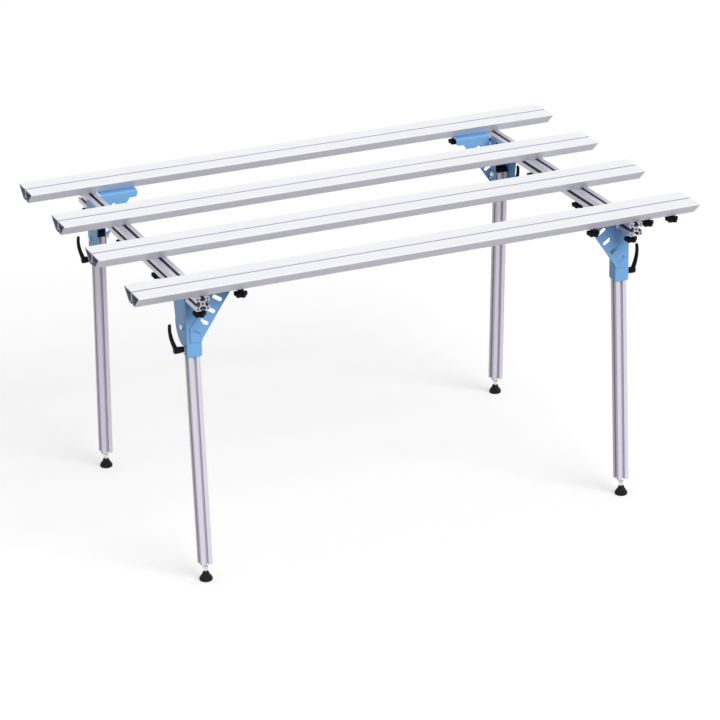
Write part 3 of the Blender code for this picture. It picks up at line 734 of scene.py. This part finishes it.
def slot_row_tree():
    """Rounded slots, spaced evenly along a line, as one solid for each."""
    sheet, given = shape_tree("slot_row", {
        "Count": "Int", "Start": "Vector", "Step": "Vector", "Lean": "Float",
        "Slot Length": "Float", "Slot Width": "Float", "Depth": "Float", "Finish": "Material"})
    outline = sheet.add("GeometryNodeCurvePrimitiveQuadrilateral",
                        {"Width": given["Slot Length"], "Height": given["Slot Width"]})
    outline = sheet.rounded(outline, BAND_SLOT_STEPS, given["Slot Width"] * NEARLY_HALF)
    back, punched = sheet.raised(outline, given["Depth"], "NGONS")
    punch = sheet.add("GeometryNodeJoinGeometry", {"Geometry": [punched, back]})
    row = sheet.add("GeometryNodeMeshLine",
                    {"Count": given["Count"], "Start Location": given["Start"],
                     "Offset": given["Step"]}, mode="OFFSET")
    lean = sheet.add("ShaderNodeCombineXYZ", {"Z": given["Lean"]})
    placed = sheet.add("GeometryNodeInstanceOnPoints",
                       {"Points": row, "Instance": punch, "Rotation": lean})
    real = sheet.add("GeometryNodeRealizeInstances", {"Geometry": placed})
    return close_shape(sheet, real, given["Finish"])


SLOT_ROW = slot_row_tree()
gusset_low, gusset_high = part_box("gusset_back_right")
flange_top = gusset_high.z
gusset_inner = gusset_low.y
bar_bottom = bar_low.z
outboard = gusset_high.x - rail_x
reach = rail_x - gusset_low.x
fold_centre = (gusset_inner + FOLD, flange_top - FOLD)
section = [(gusset_inner, gusset_low.z - CUT_SPARE)]
section += arc(fold_centre, FOLD, 180, 90, BEND_STEP)
section += [(gusset_high.y, flange_top), (gusset_high.y, flange_top - SHEET)]
section += arc(fold_centre, FOLD - SHEET, 90, 180, BEND_STEP)
section += [(gusset_inner + SHEET, gusset_low.z - CUT_SPARE)]
rail_side = rail_size / 2 + GUSSET_RAIL_GAP
shoulder = GUSSET_WAIST - (rail_side + outboard) * GUSSET_SLOPE
tab_centre = (reach - GUSSET_TAB_ROUND, bar_bottom - GUSSET_TAB + GUSSET_TAB_ROUND)
gusset_outline = [
    (-outboard, gusset_low.z),
    (-outboard, bar_bottom - GUSSET_WAIST),
    (rail_side, bar_bottom - shoulder),
    (rail_side, bar_bottom + CUT_SPARE),
    (reach, bar_bottom + CUT_SPARE),
]
gusset_outline += arc(tab_centre, GUSSET_TAB_ROUND, 0, -90)
gusset_outline += [
    (GUSSET_NECK, bar_bottom - GUSSET_TAB),
    (plate_outer, gusset_low.z + GUSSET_FOOT),
    (plate_outer, gusset_low.z),
]
band_start = Vector((BAND_FOOT.x, bar_bottom - BAND_FOOT.y, 0))
band_end = Vector((BAND_HEAD.x, bar_bottom - BAND_HEAD.y, 0))
band_step = (band_end - band_start) / (BAND_SLOTS - 1)
band_lean = math.atan2(band_end.y - band_start.y, band_end.x - band_start.x) + math.pi / 2
outer_bar_y = (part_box("bar_back")[0].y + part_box("bar_back")[1].y) / 2

for label, end, side in LABELS:
    plan, profile, face = placers(end, side, -1)
    folded = blank(prism(section, -outboard - CUT_SPARE, reach + CUT_SPARE, profile))
    edges = blank(prism(gusset_outline, gusset_inner - CUT_SPARE, gusset_high.y + CUT_SPARE, face))
    bolt_hole = prism(circle((FLANGE_BOLT_FROM_RAIL, outer_bar_y), PIVOT_HOLE),
                      flange_top - CUT_SPARE, flange_top + CUT_SPARE, plan)
    row = grow(SLOT_ROW, bpy.data.meshes.new("row"), {
        "Count": BAND_SLOTS, "Start": band_start, "Step": band_step, "Lean": band_lean,
        "Slot Length": BAND_SLOT_LENGTH, "Slot Width": BAND_SLOT_WIDTH, "Depth": PUNCH_DEPTH,
        "Finish": BLUE_FINISHES[0]})
    row.transform(axes((-end, 0, 0), (0, 0, 1), (0, side, 0),
                       (end * rail_x, side * (gusset_inner - SHEET), 0)))
    punches = bmesh.new()
    punches.from_mesh(row)
    mesh = pressed(folded, [("INTERSECT", edges), ("DIFFERENCE", blank(bolt_hole)),
                            ("DIFFERENCE", blank(punches))])
    node = f"gusset_{label}"
    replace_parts(show(f"pressed_{node}", mesh, node), node)

# Legs
# Square slotted extrusions of natural aluminium, paler than the rails, hung on the pivot bolts and
# leaning outward. They are sawn square at the foot, with the middle bore tapped for the foot's stud.
LEG_ABOVE_PIVOT = 0.006
LEG_SIZE = 0.030
LEG_CORNER = 0.0012
LEG_SLOT = {"lip": 0.0024, "width": 0.0162, "straight": 0.0022, "floor": 0.007, "depth": 0.0088}
LEG_BORE = 0.0092
FOOT_STUD_SHOWN = 0.022
# Painted light: the leg's slots and bore are painted a little paler than the leg, lifting the shade
# that falls in them
LEG_PAINTED_SLOT_LIGHT = (0.77, 0.74, 0.83)
LEG_FINISH = anodised("natural_leg_aluminium", (0.74, 0.72, 0.79), painted_groove_tone=LEG_PAINTED_SLOT_LIGHT,
                      painted_slot_tone=LEG_PAINTED_SLOT_LIGHT, metallic=0.15, roughness=0.42)

pad_low, pad_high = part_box("foot_pad_back_right")
pad_height = pad_high.z - pad_low.z
leg_run = -pivot_z / leg_down.z
leg_end = leg_run - pad_height - FOOT_STUD_SHOWN


def leg_frame(label):
    """The leg's own axes: pivot at the origin, X along the pivot bolt, Z up along the leg."""
    up = -Vector(JOINTS[f"level_{label}"]["axis"])
    across = Vector((1, 0, 0))
    return axes(across, up.cross(across), up, JOINTS[f"fold_{label}"]["pos_m"])


leg_loops = [slotted_square(LEG_SIZE, LEG_CORNER, **LEG_SLOT), bore(LEG_BORE)]
for label, *_ in LABELS:
    node = f"leg_{label}"
    mesh = extruded(leg_loops, leg_end + LEG_ABOVE_PIVOT, SQUARE_ROUND_STEPS, LEG_FINISH)
    mesh.transform(leg_frame(label) @ Matrix.Translation((0, 0, -leg_end)))
    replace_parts(show(f"extruded_{node}", mesh, node), node)

# Leg caps
# Moulded black plastic plugs on top of the legs, rounded about the pivot so that they clear the
# bracket as the leg folds.
CAP_RADIUS = 0.01862
CAP_GAP = 0.0003
CAP_EDGE = 0.0008


def moulded(name, colour, grain, roughness):
    """Moulded plastic: fine spark grain, paler where hands rub it."""
    material, sheet = new_finish(name)
    place = sheet.add("ShaderNodeTexCoord", output="Object")
    spark = sheet.noise(place, scale=grain, detail=3)
    rubbed = sheet.noise(place, scale=48, detail=4)
    handling = sheet.noise(sheet.stretch(place, (1, 0.4, 1)), scale=420, detail=5)
    scuffs = sheet.ramp(handling, low=0.62, high=0.70)
    worn = sheet.ramp(rubbed, low=0.45, high=0.75) * 0.5 + 0.4 * scuffs
    close_finish(sheet, {
        "Base Color": sheet.blend(worn, tint(colour), tint(colour, factor=1.7, lift=0.004)),
        "Specular IOR Level": 0.1,
        "Roughness": roughness + 0.14 * rubbed + 0.10 * scuffs - 0.05 * spark,
        "Normal": sheet.bump(spark + 0.4 * scuffs, distance=0.00005, strength=0.4),
    })
    return material


BLACK_FINISH = moulded("black_moulded_plastic", (0.005, 0.005, 0.007), grain=1500,
                       roughness=0.40)
cap_half = LEG_SIZE / 2
cap_low = LEG_ABOVE_PIVOT + CAP_GAP
cap_turn = math.degrees(math.acos(cap_half / CAP_RADIUS))
cap_outline = [(-cap_half, cap_low), (cap_half, cap_low)]
cap_outline += arc((0, 0), CAP_RADIUS, cap_turn, 180 - cap_turn)
for label, *_ in LABELS:
    cap = blank(prism(cap_outline, -cap_half, cap_half, lambda a, b, c: (c, a, b)))
    mesh = cap.data
    bpy.data.objects.remove(cap)
    dress(mesh, BLACK_FINISH)
    mesh.transform(leg_frame(label))
    node = f"leg_cap_{label}"
    piece = show(f"moulded_{node}", mesh, node)
    bevelled(piece, CAP_EDGE, segments=3)
    piece.modifiers.move(1, 0)
    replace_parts(piece, node)

# Pivot bolts
# Bright zinc-plated hexagon bolts through both sides of the brackets, on which the legs fold. Each
# has a nut on its inboard end and two spacers that keep the leg in the middle.
TURN_STEPS = 48
ROUND_STEPS = 3
LOBES = 5
THREAD_PITCH = 0.00125
THREAD_DEPTH = 0.00055
THREAD_POINTS = 4
BOLT_RADIUS = 0.004
HEX_FLATS = 0.013
HEX_CORNER = HEX_FLATS / math.sqrt(3)
HEX_CHAMFER = 0.0006
NO_FLATS = 0.000001
LOBE_POWER = 0.8
PIVOT_HEAD_HEIGHT = 0.0053
NUT_HEIGHT = 0.0065
BUSH_RADIUS = 0.008
BUSH_EDGE = 0.0003
SEAT_GAP = 0.0003


def turned_tree():
    """A rounded profile turned about Z; its points may be held to a hexagon, lobed or threaded."""
    sheet, given = shape_tree("turned", {"Sides": "Int", "Round Steps": "Int", "Lobes": "Int",
                                         "Pitch": "Float", "Finish": "Material"})
    outline = sheet.add("GeometryNodeMeshToCurve", {"Mesh": given["Geometry"]})
    outline = sheet.rounded(outline, given["Round Steps"], sheet.note("rounding"))
    points = sheet.add("GeometryNodeAttributeDomainSize", {"Geometry": outline}, "Point Count",
                       component="CURVE")
    columns = given["Sides"] + 1
    skin = sheet.add("GeometryNodeMeshGrid", {"Vertices X": points, "Vertices Y": columns})
    index = sheet.add("GeometryNodeInputIndex")
    row = (index / columns).to("FLOOR")

    def at_row(value, kind):
        return sheet.add("GeometryNodeSampleIndex",
                         {"Geometry": outline, "Value": value, "Index": row},
                         data_type=kind, domain="POINT")

    point = at_row(sheet.add("GeometryNodeInputPosition"), "FLOAT_VECTOR")
    radius = sheet.add("ShaderNodeSeparateXYZ", {"Vector": point}, "X")
    height = radius.other("Y")
    flats, lobe, thread = (at_row(sheet.note(name), "FLOAT")
                           for name in ("flats", "lobe", "thread"))
    turn = (index % columns) / given["Sides"]
    angle = turn * math.tau
    side_turn = angle % (math.pi / 3) - math.pi / 6
    facet = flats * 0.5 / side_turn.to("COSINE") + flats.to("LESS_THAN", NO_FLATS)
    waves = ((angle * given["Lobes"]).to("COSINE") * NEARLY_HALF + 0.5) ** LOBE_POWER
    ridges = (((height / given["Pitch"] + turn) % 1) * 2 - 1).to("ABSOLUTE")
    shaped = radius.to("MINIMUM", facet) - lobe * (1 - waves) - thread * ridges
    place = sheet.add("ShaderNodeCombineXYZ",
                      {"X": shaped * angle.to("COSINE"), "Y": shaped * angle.to("SINE"), "Z": height})
    skin = sheet.add("GeometryNodeSetPosition", {"Geometry": skin, "Position": place})
    return close_shape(sheet, skin, given["Finish"])


def rim(radius, height, rounding=0.0, flats=0.0, lobe=0.0, thread=0.0):
    """A point of a turned profile."""
    return radius, height, rounding, flats, lobe, thread


def threaded(radius, low, high):
    """A threaded stretch of a turned profile, with a few points to each turn of the thread."""
    count = math.ceil(THREAD_POINTS * abs(high - low) / THREAD_PITCH)
    return [rim(radius, low + (high - low) * i / count, thread=THREAD_DEPTH * (0 < i < count))
            for i in range(count + 1)]


def hexagon(top, low):
    """A chamfered hexagon in a turned profile, from its top down."""
    return [rim(HEX_FLATS / 2, top, flats=HEX_FLATS),
            rim(HEX_CORNER, top - HEX_CHAMFER, flats=HEX_FLATS),
            rim(HEX_CORNER, low + HEX_CHAMFER, flats=HEX_FLATS),
            rim(HEX_FLATS / 2, low, flats=HEX_FLATS)]


TURNED = turned_tree()


def turn_piece(rims, finish, place):
    """A turned mesh, closed, faces outward, moved to its place."""
    start = wire_mesh([rims], False, ["rounding", "flats", "lobe", "thread"])
    mesh = grow(TURNED, start, {"Sides": TURN_STEPS, "Round Steps": ROUND_STEPS, "Lobes": LOBES,
                                "Pitch": THREAD_PITCH, "Finish": finish})
    cleaned(mesh, place)
    return mesh


def zinc_plate(name, colour, roughness):
    """Bright zinc over turned steel: cloudy plating with fine specks."""
    material, sheet = new_finish(name)
    place = sheet.add("ShaderNodeTexCoord", output="Object")
    clouds = sheet.noise(place, scale=190, detail=4)
    specks = sheet.noise(place, scale=2400)
    dull = sheet.ramp(clouds, low=0.35, high=0.7)
    close_finish(sheet, {
        "Base Color": sheet.blend(dull, tint(colour), tint(colour, factor=0.80)),
        "Metallic": 1.0,
        "Roughness": roughness + 0.16 * dull + 0.05 * specks,
        "Normal": sheet.bump(specks + clouds, distance=0.00003, strength=0.3),
    })
    return material


STEEL_FINISH = zinc_plate("bright_zinc_plate", (0.80, 0.80, 0.82), roughness=0.22)
outer_face = plate_outer + SEAT_GAP
spacer_out = plate_inner - SEAT_GAP
spacer_in = LEG_SIZE / 2 + SEAT_GAP
nut_end = outer_face + NUT_HEIGHT
bolt_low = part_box("pivot_bolt_back_right")[0].x - rail_x
PIVOT_RIMS = [
    rim(0, outer_face + PIVOT_HEAD_HEIGHT, flats=HEX_FLATS),
    rim(HEX_FLATS / 2, outer_face + PIVOT_HEAD_HEIGHT, flats=HEX_FLATS),
    rim(HEX_CORNER, outer_face + PIVOT_HEAD_HEIGHT - HEX_CHAMFER, flats=HEX_FLATS),
    rim(HEX_CORNER, outer_face, flats=HEX_FLATS),
    rim(BOLT_RADIUS, outer_face),
    rim(BOLT_RADIUS, spacer_out),
    rim(BUSH_RADIUS, spacer_out, BUSH_EDGE),
    rim(BUSH_RADIUS, spacer_in, BUSH_EDGE),
    rim(BOLT_RADIUS, spacer_in),
    rim(BOLT_RADIUS, -spacer_in),
    rim(BUSH_RADIUS, -spacer_in, BUSH_EDGE),
    rim(BUSH_RADIUS, -spacer_out, BUSH_EDGE),
    rim(BOLT_RADIUS, -spacer_out),
    rim(BOLT_RADIUS, -outer_face),
    *hexagon(-outer_face, -nut_end),
    *threaded(BOLT_RADIUS, -nut_end, bolt_low),
    rim(0, bolt_low),
]
for label, end, _ in LABELS:
    node = f"pivot_bolt_{label}"
    place = axes((0, 1, 0), (0, 0, end), (end, 0, 0), JOINTS[f"fold_{label}"]["pos_m"])
    mesh = turn_piece(PIVOT_RIMS, STEEL_FINISH, place)
    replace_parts(show(f"plated_{node}", mesh, node), node)

# Clamp studs and washers
# Each stud's hexagon head slides in the leg's slot; its collar and a plated washer meet the
# bracket's side, and the lever pulls them together.
STUD_HEAD_FLATS = 0.011
STUD_HEAD_CORNER = STUD_HEAD_FLATS / math.sqrt(3)
STUD_HEAD_HEIGHT = 0.004
COLLAR_RADIUS = 0.007
WASHER_RADIUS = 0.010
WASHER_THICKNESS = 0.0016
WASHER_BORE = 0.0047
WASHER_BORE_EDGE = 0.0002
WASHER_LOW_EDGE = 0.0003
WASHER_TOP_EDGE = 0.0004
HUB_BORE_DEPTH = 0.0105
HUB_EASE = 0.0012

stud_head = LEG_SIZE / 2 - LEG_SLOT["lip"] - SEAT_GAP
washer_low = plate_outer + SEAT_GAP
hub_low = washer_low + WASHER_THICKNESS + SEAT_GAP
stud_tip = hub_low + HUB_BORE_DEPTH - HUB_EASE
STUD_RIMS = [
    rim(0, stud_head - STUD_HEAD_HEIGHT),
    rim(STUD_HEAD_CORNER, stud_head - STUD_HEAD_HEIGHT, flats=STUD_HEAD_FLATS),
    rim(STUD_HEAD_CORNER, stud_head, flats=STUD_HEAD_FLATS),
    rim(BOLT_RADIUS, stud_head),
    rim(BOLT_RADIUS, spacer_in),
    rim(COLLAR_RADIUS, spacer_in, BUSH_EDGE),
    rim(COLLAR_RADIUS, spacer_out, BUSH_EDGE),
    *threaded(BOLT_RADIUS, spacer_out, stud_tip),
    rim(0, stud_tip),
]
WASHER_RIMS = [
    rim(WASHER_BORE, 0, WASHER_BORE_EDGE),
    rim(WASHER_RADIUS, 0, WASHER_LOW_EDGE),
    rim(WASHER_RADIUS, WASHER_THICKNESS, WASHER_TOP_EDGE),
    rim(WASHER_BORE, WASHER_THICKNESS, WASHER_BORE_EDGE),
    rim(WASHER_BORE, 0, WASHER_BORE_EDGE),
]
for label, end, _ in LABELS:
    place = leg_frame(label) @ axes((0, 0, -end), (0, 1, 0), (end, 0, 0), (0, 0, -STUD_BELOW_PIVOT))
    node = f"clamp_stud_{label}"
    mesh = turn_piece(STUD_RIMS, STEEL_FINISH, place)
    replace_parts(show(f"plated_{node}", mesh, node), node)
    node = f"clamp_washer_{label}"
    mesh = turn_piece(WASHER_RIMS, STEEL_FINISH, place @ Matrix.Translation((0, 0, washer_low)))
    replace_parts(show(f"plated_{node}", mesh, node), node)

# Clamp levers
# Black moulded levers: a round hub on the stud and a handle that bends up and outward from it,
# one piece with soft corners. A blue push button in the hub's outer end frees the handle to turn.
HUB_RADIUS = 0.0086
HUB_LENGTH = 0.0245
HUB_BORE_RADIUS = 0.0047
HUB_FOOT_EDGE = 0.0008
HUB_WAIST = 0.0004
HUB_WAIST_LOW = 0.4
HUB_WAIST_HIGH = 0.6
HUB_WAIST_ROUND = 0.004
HUB_END_ROUND = 0.0028
LEVER_ROOT_FROM_END = 0.0064
LEVER_ROOT_RISE = 0.001
LEVER_RISE = 0.070
LEVER_LEAN = 0.0135
LEVER_BOW = 2.0
HANDLE_ROOT = (0.0066, 0.0068)
HANDLE_TIP = (0.0040, 0.0049)
HANDLE_TAPER = 1.5
TIP_DOME = 0.05
TIP_SPARE = 1.001
HANDLE_STEPS = 24
LEVER_VOXEL = 0.0006
LEVER_SOFTENING = 0.5
LEVER_SOFT_ROUNDS = 8
BUTTON_RADIUS = 0.0052
BUTTON_STAND = 0.0009
BUTTON_ROOT = 0.002
BUTTON_EDGE = 0.0007

HUB_RIMS = [
    rim(0, HUB_BORE_DEPTH),
    rim(HUB_BORE_RADIUS, HUB_BORE_DEPTH),
    rim(HUB_BORE_RADIUS, 0),
    rim(HUB_RADIUS - HUB_EASE, 0, HUB_FOOT_EDGE),
    rim(HUB_RADIUS - HUB_WAIST, HUB_WAIST_LOW * HUB_LENGTH, HUB_WAIST_ROUND),
    rim(HUB_RADIUS, HUB_WAIST_HIGH * HUB_LENGTH, HUB_WAIST_ROUND),
    rim(HUB_RADIUS, HUB_LENGTH, HUB_END_ROUND),
    rim(0, HUB_LENGTH),
]
BUTTON_RIMS = [
    rim(0, HUB_LENGTH - BUTTON_ROOT),
    rim(BUTTON_RADIUS, HUB_LENGTH - BUTTON_ROOT),
    rim(BUTTON_RADIUS, HUB_LENGTH + BUTTON_STAND, BUTTON_EDGE),
    rim(0, HUB_LENGTH + BUTTON_STAND),
]
BUTTON_FINISH = moulded("blue_push_button", (0.035, 0.16, 0.55), grain=1800, roughness=0.34)


def handle_shape():
    """The handle in (out, sideways, up) from the hub's inner end, tapered, with a domed tip."""
    shape = bmesh.new()
    rings = []
    for i in range(HANDLE_STEPS + 1):
        t = i / HANDLE_STEPS
        dome = math.sqrt(1 - max(0.0, (t - 1 + TIP_DOME) / (TIP_SPARE * TIP_DOME)) ** 2)
        thick, wide = (dome * (tip + (root - tip) * (1 - t) ** HANDLE_TAPER)
                       for root, tip in zip(HANDLE_ROOT, HANDLE_TIP))
        out = HUB_LENGTH - LEVER_ROOT_FROM_END + LEVER_LEAN * math.sin(LEVER_BOW * t)
        up = LEVER_ROOT_RISE + (LEVER_RISE - LEVER_ROOT_RISE) * t
        rings.append([shape.verts.new((out + thick * a, wide * b, up))
                      for a, b in circle((0, 0), 1)])
    for near, far in zip(rings, rings[1:]):
        for i in range(len(near)):
            shape.faces.new((near[i - 1], near[i], far[i], far[i - 1]))
    shape.faces.new(rings[0])
    shape.faces.new(rings[-1])
    return shape


def lever_mesh():
    """Hub and handle grown together as one moulding, hub axis along Z and handle along -X."""
    lever = handle_shape()
    lever.transform(axes((0, 0, 1), (0, 1, 0), (-1, 0, 0), (0, 0, 0)))
    lever.from_mesh(turn_piece(HUB_RIMS, BLACK_FINISH, Matrix.Identity(4)))
    body = blank(lever)
    grown = body.modifiers.new("grown", "REMESH")
    grown.mode = "VOXEL"
    grown.voxel_size = LEVER_VOXEL
    soft = body.modifiers.new("soft", "SMOOTH")
    soft.factor = LEVER_SOFTENING
    soft.iterations = LEVER_SOFT_ROUNDS
    mesh = plain_mesh(body)
    bpy.data.objects.remove(body)
    dress(mesh, BLACK_FINISH)
    return mesh


LEVER = lever_mesh()
for label, end, _ in LABELS:
    node = f"clamp_lever_{label}"
    place = leg_frame(label) @ axes((0, 0, -1), (0, end, 0), (end, 0, 0),
                                    (end * hub_low, 0, -STUD_BELOW_PIVOT))
    mesh = LEVER.copy()
    mesh.transform(place)
    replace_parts(show(f"moulded_{node}", mesh, node), node)
    mesh = turn_piece(BUTTON_RIMS, BUTTON_FINISH, place)
    show(f"push_button_{label}", mesh, node)

# Levelling feet
# Zinc-plated studs with a hexagon for a spanner, screwed up into the legs' bores, each standing in
# a bell-shaped pad of black rubber-like plastic that lies flat on the floor.
FOOT_STUD_INSIDE = 0.045
FOOT_HEX_BELOW_LEG = 0.008
PAD_RADIUS = 0.017
PAD_BORE = 0.0056
PAD_BORE_FLOOR = 0.010
PAD_BORE_EDGE = 0.0004
PAD_STUD_GAP = 0.002
PAD_BELL = [(0.92, 0, 0.0006), (1, 0.003, 0.0015), (0.97, 0.007, 0.004), (0.72, 0.013, 0.006),
            (0.50, 0.019, 0.006), (0.44, pad_height, 0.0006)]

RUBBER_FINISH = moulded("black_foot_rubber", (0.013, 0.013, 0.014), grain=900, roughness=0.42)
hex_top = -leg_end - FOOT_HEX_BELOW_LEG
hex_low = hex_top - NUT_HEIGHT
stud_foot = -(leg_run - PAD_BORE_FLOOR - PAD_STUD_GAP)
FOOT_STUD_RIMS = [
    rim(0, -leg_end + FOOT_STUD_INSIDE),
    rim(BOLT_RADIUS, -leg_end + FOOT_STUD_INSIDE),
    rim(BOLT_RADIUS, -leg_end + THREAD_PITCH),
    *threaded(BOLT_RADIUS, -leg_end + THREAD_PITCH, hex_top),
    *hexagon(hex_top, hex_low),
    rim(BOLT_RADIUS, hex_low),
    rim(BOLT_RADIUS, stud_foot),
    rim(0, stud_foot),
]
PAD_RIMS = [
    rim(0, 0),
    *[rim(share * PAD_RADIUS, height, rounding) for share, height, rounding in PAD_BELL],
    rim(PAD_BORE, pad_height, PAD_BORE_EDGE),
    rim(PAD_BORE, PAD_BORE_FLOOR),
    rim(0, PAD_BORE_FLOOR),
]
for label, *_ in LABELS:
    node = f"foot_stud_{label}"
    mesh = turn_piece(FOOT_STUD_RIMS, STEEL_FINISH, leg_frame(label))
    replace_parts(show(f"plated_{node}", mesh, node), node)
    node = f"foot_pad_{label}"
    low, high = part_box(node)
    place = Matrix.Translation(((low.x + high.x) / 2, (low.y + high.y) / 2, low.z))
    mesh = turn_piece(PAD_RIMS, RUBBER_FINISH, place)
    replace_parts(show(f"moulded_{node}", mesh, node), node)

# Star knobs
# Five-lobed black plastic knobs moulded over plated bolts, whose round heads sit in the slots.
# They clamp the bars to the rails and flanges; two more hang under the right end of the front bar.
KNOB_RADIUS = 0.0175
KNOB_LOBE = 0.0071
KNOB_HEIGHT = 0.0232
KNOB_DOME = 0.0030
KNOB_DOME_SHARE = 0.78
KNOB_DOME_ROUND = 0.0030
KNOB_DISH = 0.0010
KNOB_DISH_SHARES = (0.32, 0.40)
KNOB_DISH_ROUND = 0.001
KNOB_LOW_ROUND = 0.0025
KNOB_TOP_ROUND = 0.0018
KNOB_HUB_RADIUS = 0.0076
KNOB_HUB_HEIGHT = 0.0095
KNOB_HUB_FOOT = 0.0012
KNOB_HUB_EDGE = 0.0006
KNOB_SHOULDER = 0.0020
SLOT_HEAD_RADIUS = 0.0066
SLOT_HEAD_HEIGHT = 0.004
SLOT_HEAD_EDGE = 0.0003
SLOT_HEAD_ROUND = 0.0008

grip_top = KNOB_HEIGHT - KNOB_HUB_HEIGHT
GRIP_RIMS = [
    rim(0, KNOB_DISH),
    rim(KNOB_DISH_SHARES[0] * KNOB_RADIUS, KNOB_DISH, KNOB_DISH_ROUND),
    rim(KNOB_DISH_SHARES[1] * KNOB_RADIUS, 0, KNOB_DISH_ROUND),
    rim(KNOB_DOME_SHARE * KNOB_RADIUS, 0, KNOB_DOME_ROUND, lobe=KNOB_DOME_SHARE * KNOB_LOBE),
    rim(KNOB_RADIUS, KNOB_DOME, KNOB_LOW_ROUND, lobe=KNOB_LOBE),
    rim(KNOB_RADIUS, grip_top - KNOB_SHOULDER, KNOB_TOP_ROUND, lobe=KNOB_LOBE),
    rim(KNOB_HUB_RADIUS, grip_top, KNOB_HUB_FOOT),
    rim(KNOB_HUB_RADIUS, KNOB_HEIGHT, KNOB_HUB_EDGE),
    rim(0, KNOB_HEIGHT),
]
knobs = [node for node in frame["nodes"] if node.startswith("knob_")]
for node in sorted(knobs):
    low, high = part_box(node)
    axis_x, axis_y, _ = JOINTS[f"turn_{node}"]["pos_m"]
    place = Matrix.Translation((axis_x, axis_y, low.z))
    bolt_top = high.z - low.z
    bolt_rims = [
        rim(0, KNOB_HEIGHT),
        rim(BOLT_RADIUS, KNOB_HEIGHT),
        *threaded(BOLT_RADIUS, KNOB_HEIGHT, bolt_top - SLOT_HEAD_HEIGHT),
        rim(SLOT_HEAD_RADIUS, bolt_top - SLOT_HEAD_HEIGHT, SLOT_HEAD_EDGE),
        rim(SLOT_HEAD_RADIUS, bolt_top, SLOT_HEAD_ROUND),
        rim(0, bolt_top),
    ]
    mesh = turn_piece(GRIP_RIMS, BLACK_FINISH, place)
    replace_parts(show(f"moulded_{node}", mesh, node), node)
    mesh = turn_piece(bolt_rims, STEEL_FINISH, place)
    show(f"bolt_of_{node}", mesh, node)

# Studio
# A plain white floor that keeps the bench's shadow, an even white surround, and one broad soft
# light from the front right, above the camera, that the metal doesn't mirror. The camera stands
# where the photograph was taken.
FLOOR_REACH = 30.0
FLOOR_BELOW = 0.0002
FLOOR_TONE = 0.55
FLOOR_LIFT = 0.46
BOUNCE_TONE = (0.205, 0.185, 0.235, 1)
SURROUND = 0.56
KEY_STRENGTH = 2.45
KEY_SPREAD = 45
KEY_HEIGHT = 36
KEY_TURN = 20
CAMERA_PLACE = (-2.8792, -6.7837, 3.386)
CAMERA_TURN = -23.0446
CAMERA_DROP = 22.4289
CAMERA_ROLL = -1.1445
CAMERA_LENS = 152.25


def seen_directly(sheet):
    """1 where a camera, mirror or glass ray looks, 0 where light is only gathered."""
    path = sheet.add("ShaderNodeLightPath", output="Is Camera Ray")
    mirrored_ray = path.to("MAXIMUM", path.other("Is Glossy Ray"))
    return mirrored_ray.to("MAXIMUM", path.other("Is Transmission Ray"))


world = bpy.data.worlds.new("surround")
bpy.context.scene.world = world
world.use_nodes = True
world.node_tree.nodes.clear()
sheet = Sheet(world.node_tree)
seen = seen_directly(sheet)
light = sheet.add("ShaderNodeBackground",
                  {"Color": (1, 1, 1, 1), "Strength": SURROUND + (1 - SURROUND) * seen})
sheet.add("ShaderNodeOutputWorld", {"Surface": light})

floor_finish, sheet = new_finish("white_floor")
seen = seen_directly(sheet)
bounce = sheet.add("ShaderNodeBsdfDiffuse", {"Color": BOUNCE_TONE})
shadowed = sheet.add("ShaderNodeBsdfDiffuse", {"Color": (*[FLOOR_TONE] * 3, 1)})
lift = sheet.add("ShaderNodeEmission", {"Color": (1, 1, 1, 1), "Strength": FLOOR_LIFT})
white = sheet.add("ShaderNodeAddShader", {0: shadowed, 1: lift})
surface = sheet.add("ShaderNodeMixShader", {0: seen, 1: bounce, 2: white})
sheet.add("ShaderNodeOutputMaterial", {"Surface": surface})

floor_shape = bmesh.new()
bmesh.ops.create_grid(floor_shape, x_segments=1, y_segments=1, size=FLOOR_REACH)
bmesh.ops.translate(floor_shape, verts=floor_shape.verts, vec=(0, 0, -FLOOR_BELOW))
floor_mesh = bpy.data.meshes.new("studio_floor")
floor_shape.to_mesh(floor_mesh)
floor_shape.free()
dress(floor_mesh, floor_finish)
floor = new_object("studio_floor", floor_mesh)

key = bpy.data.lights.new("soft_key", "SUN")
key.energy = KEY_STRENGTH
key.angle = math.radians(KEY_SPREAD)
key_lamp = new_object("soft_key", key)
key_lamp.rotation_euler = Euler((math.radians(90 - KEY_HEIGHT), 0, math.radians(KEY_TURN)))
key_lamp.visible_glossy = False

camera = bpy.data.cameras.new("camera")
camera.lens = CAMERA_LENS
camera_stand = new_object("camera", camera)
aim = Euler((math.radians(90 - CAMERA_DROP), 0, math.radians(CAMERA_TURN))).to_matrix()
aim = aim @ Matrix.Rotation(math.radians(CAMERA_ROLL), 3, "Z")
camera_stand.matrix_world = Matrix.LocRotScale(CAMERA_PLACE, aim, None)
bpy.context.scene.camera = camera_stand
bpy.context.scene.view_settings.view_transform = "Standard"
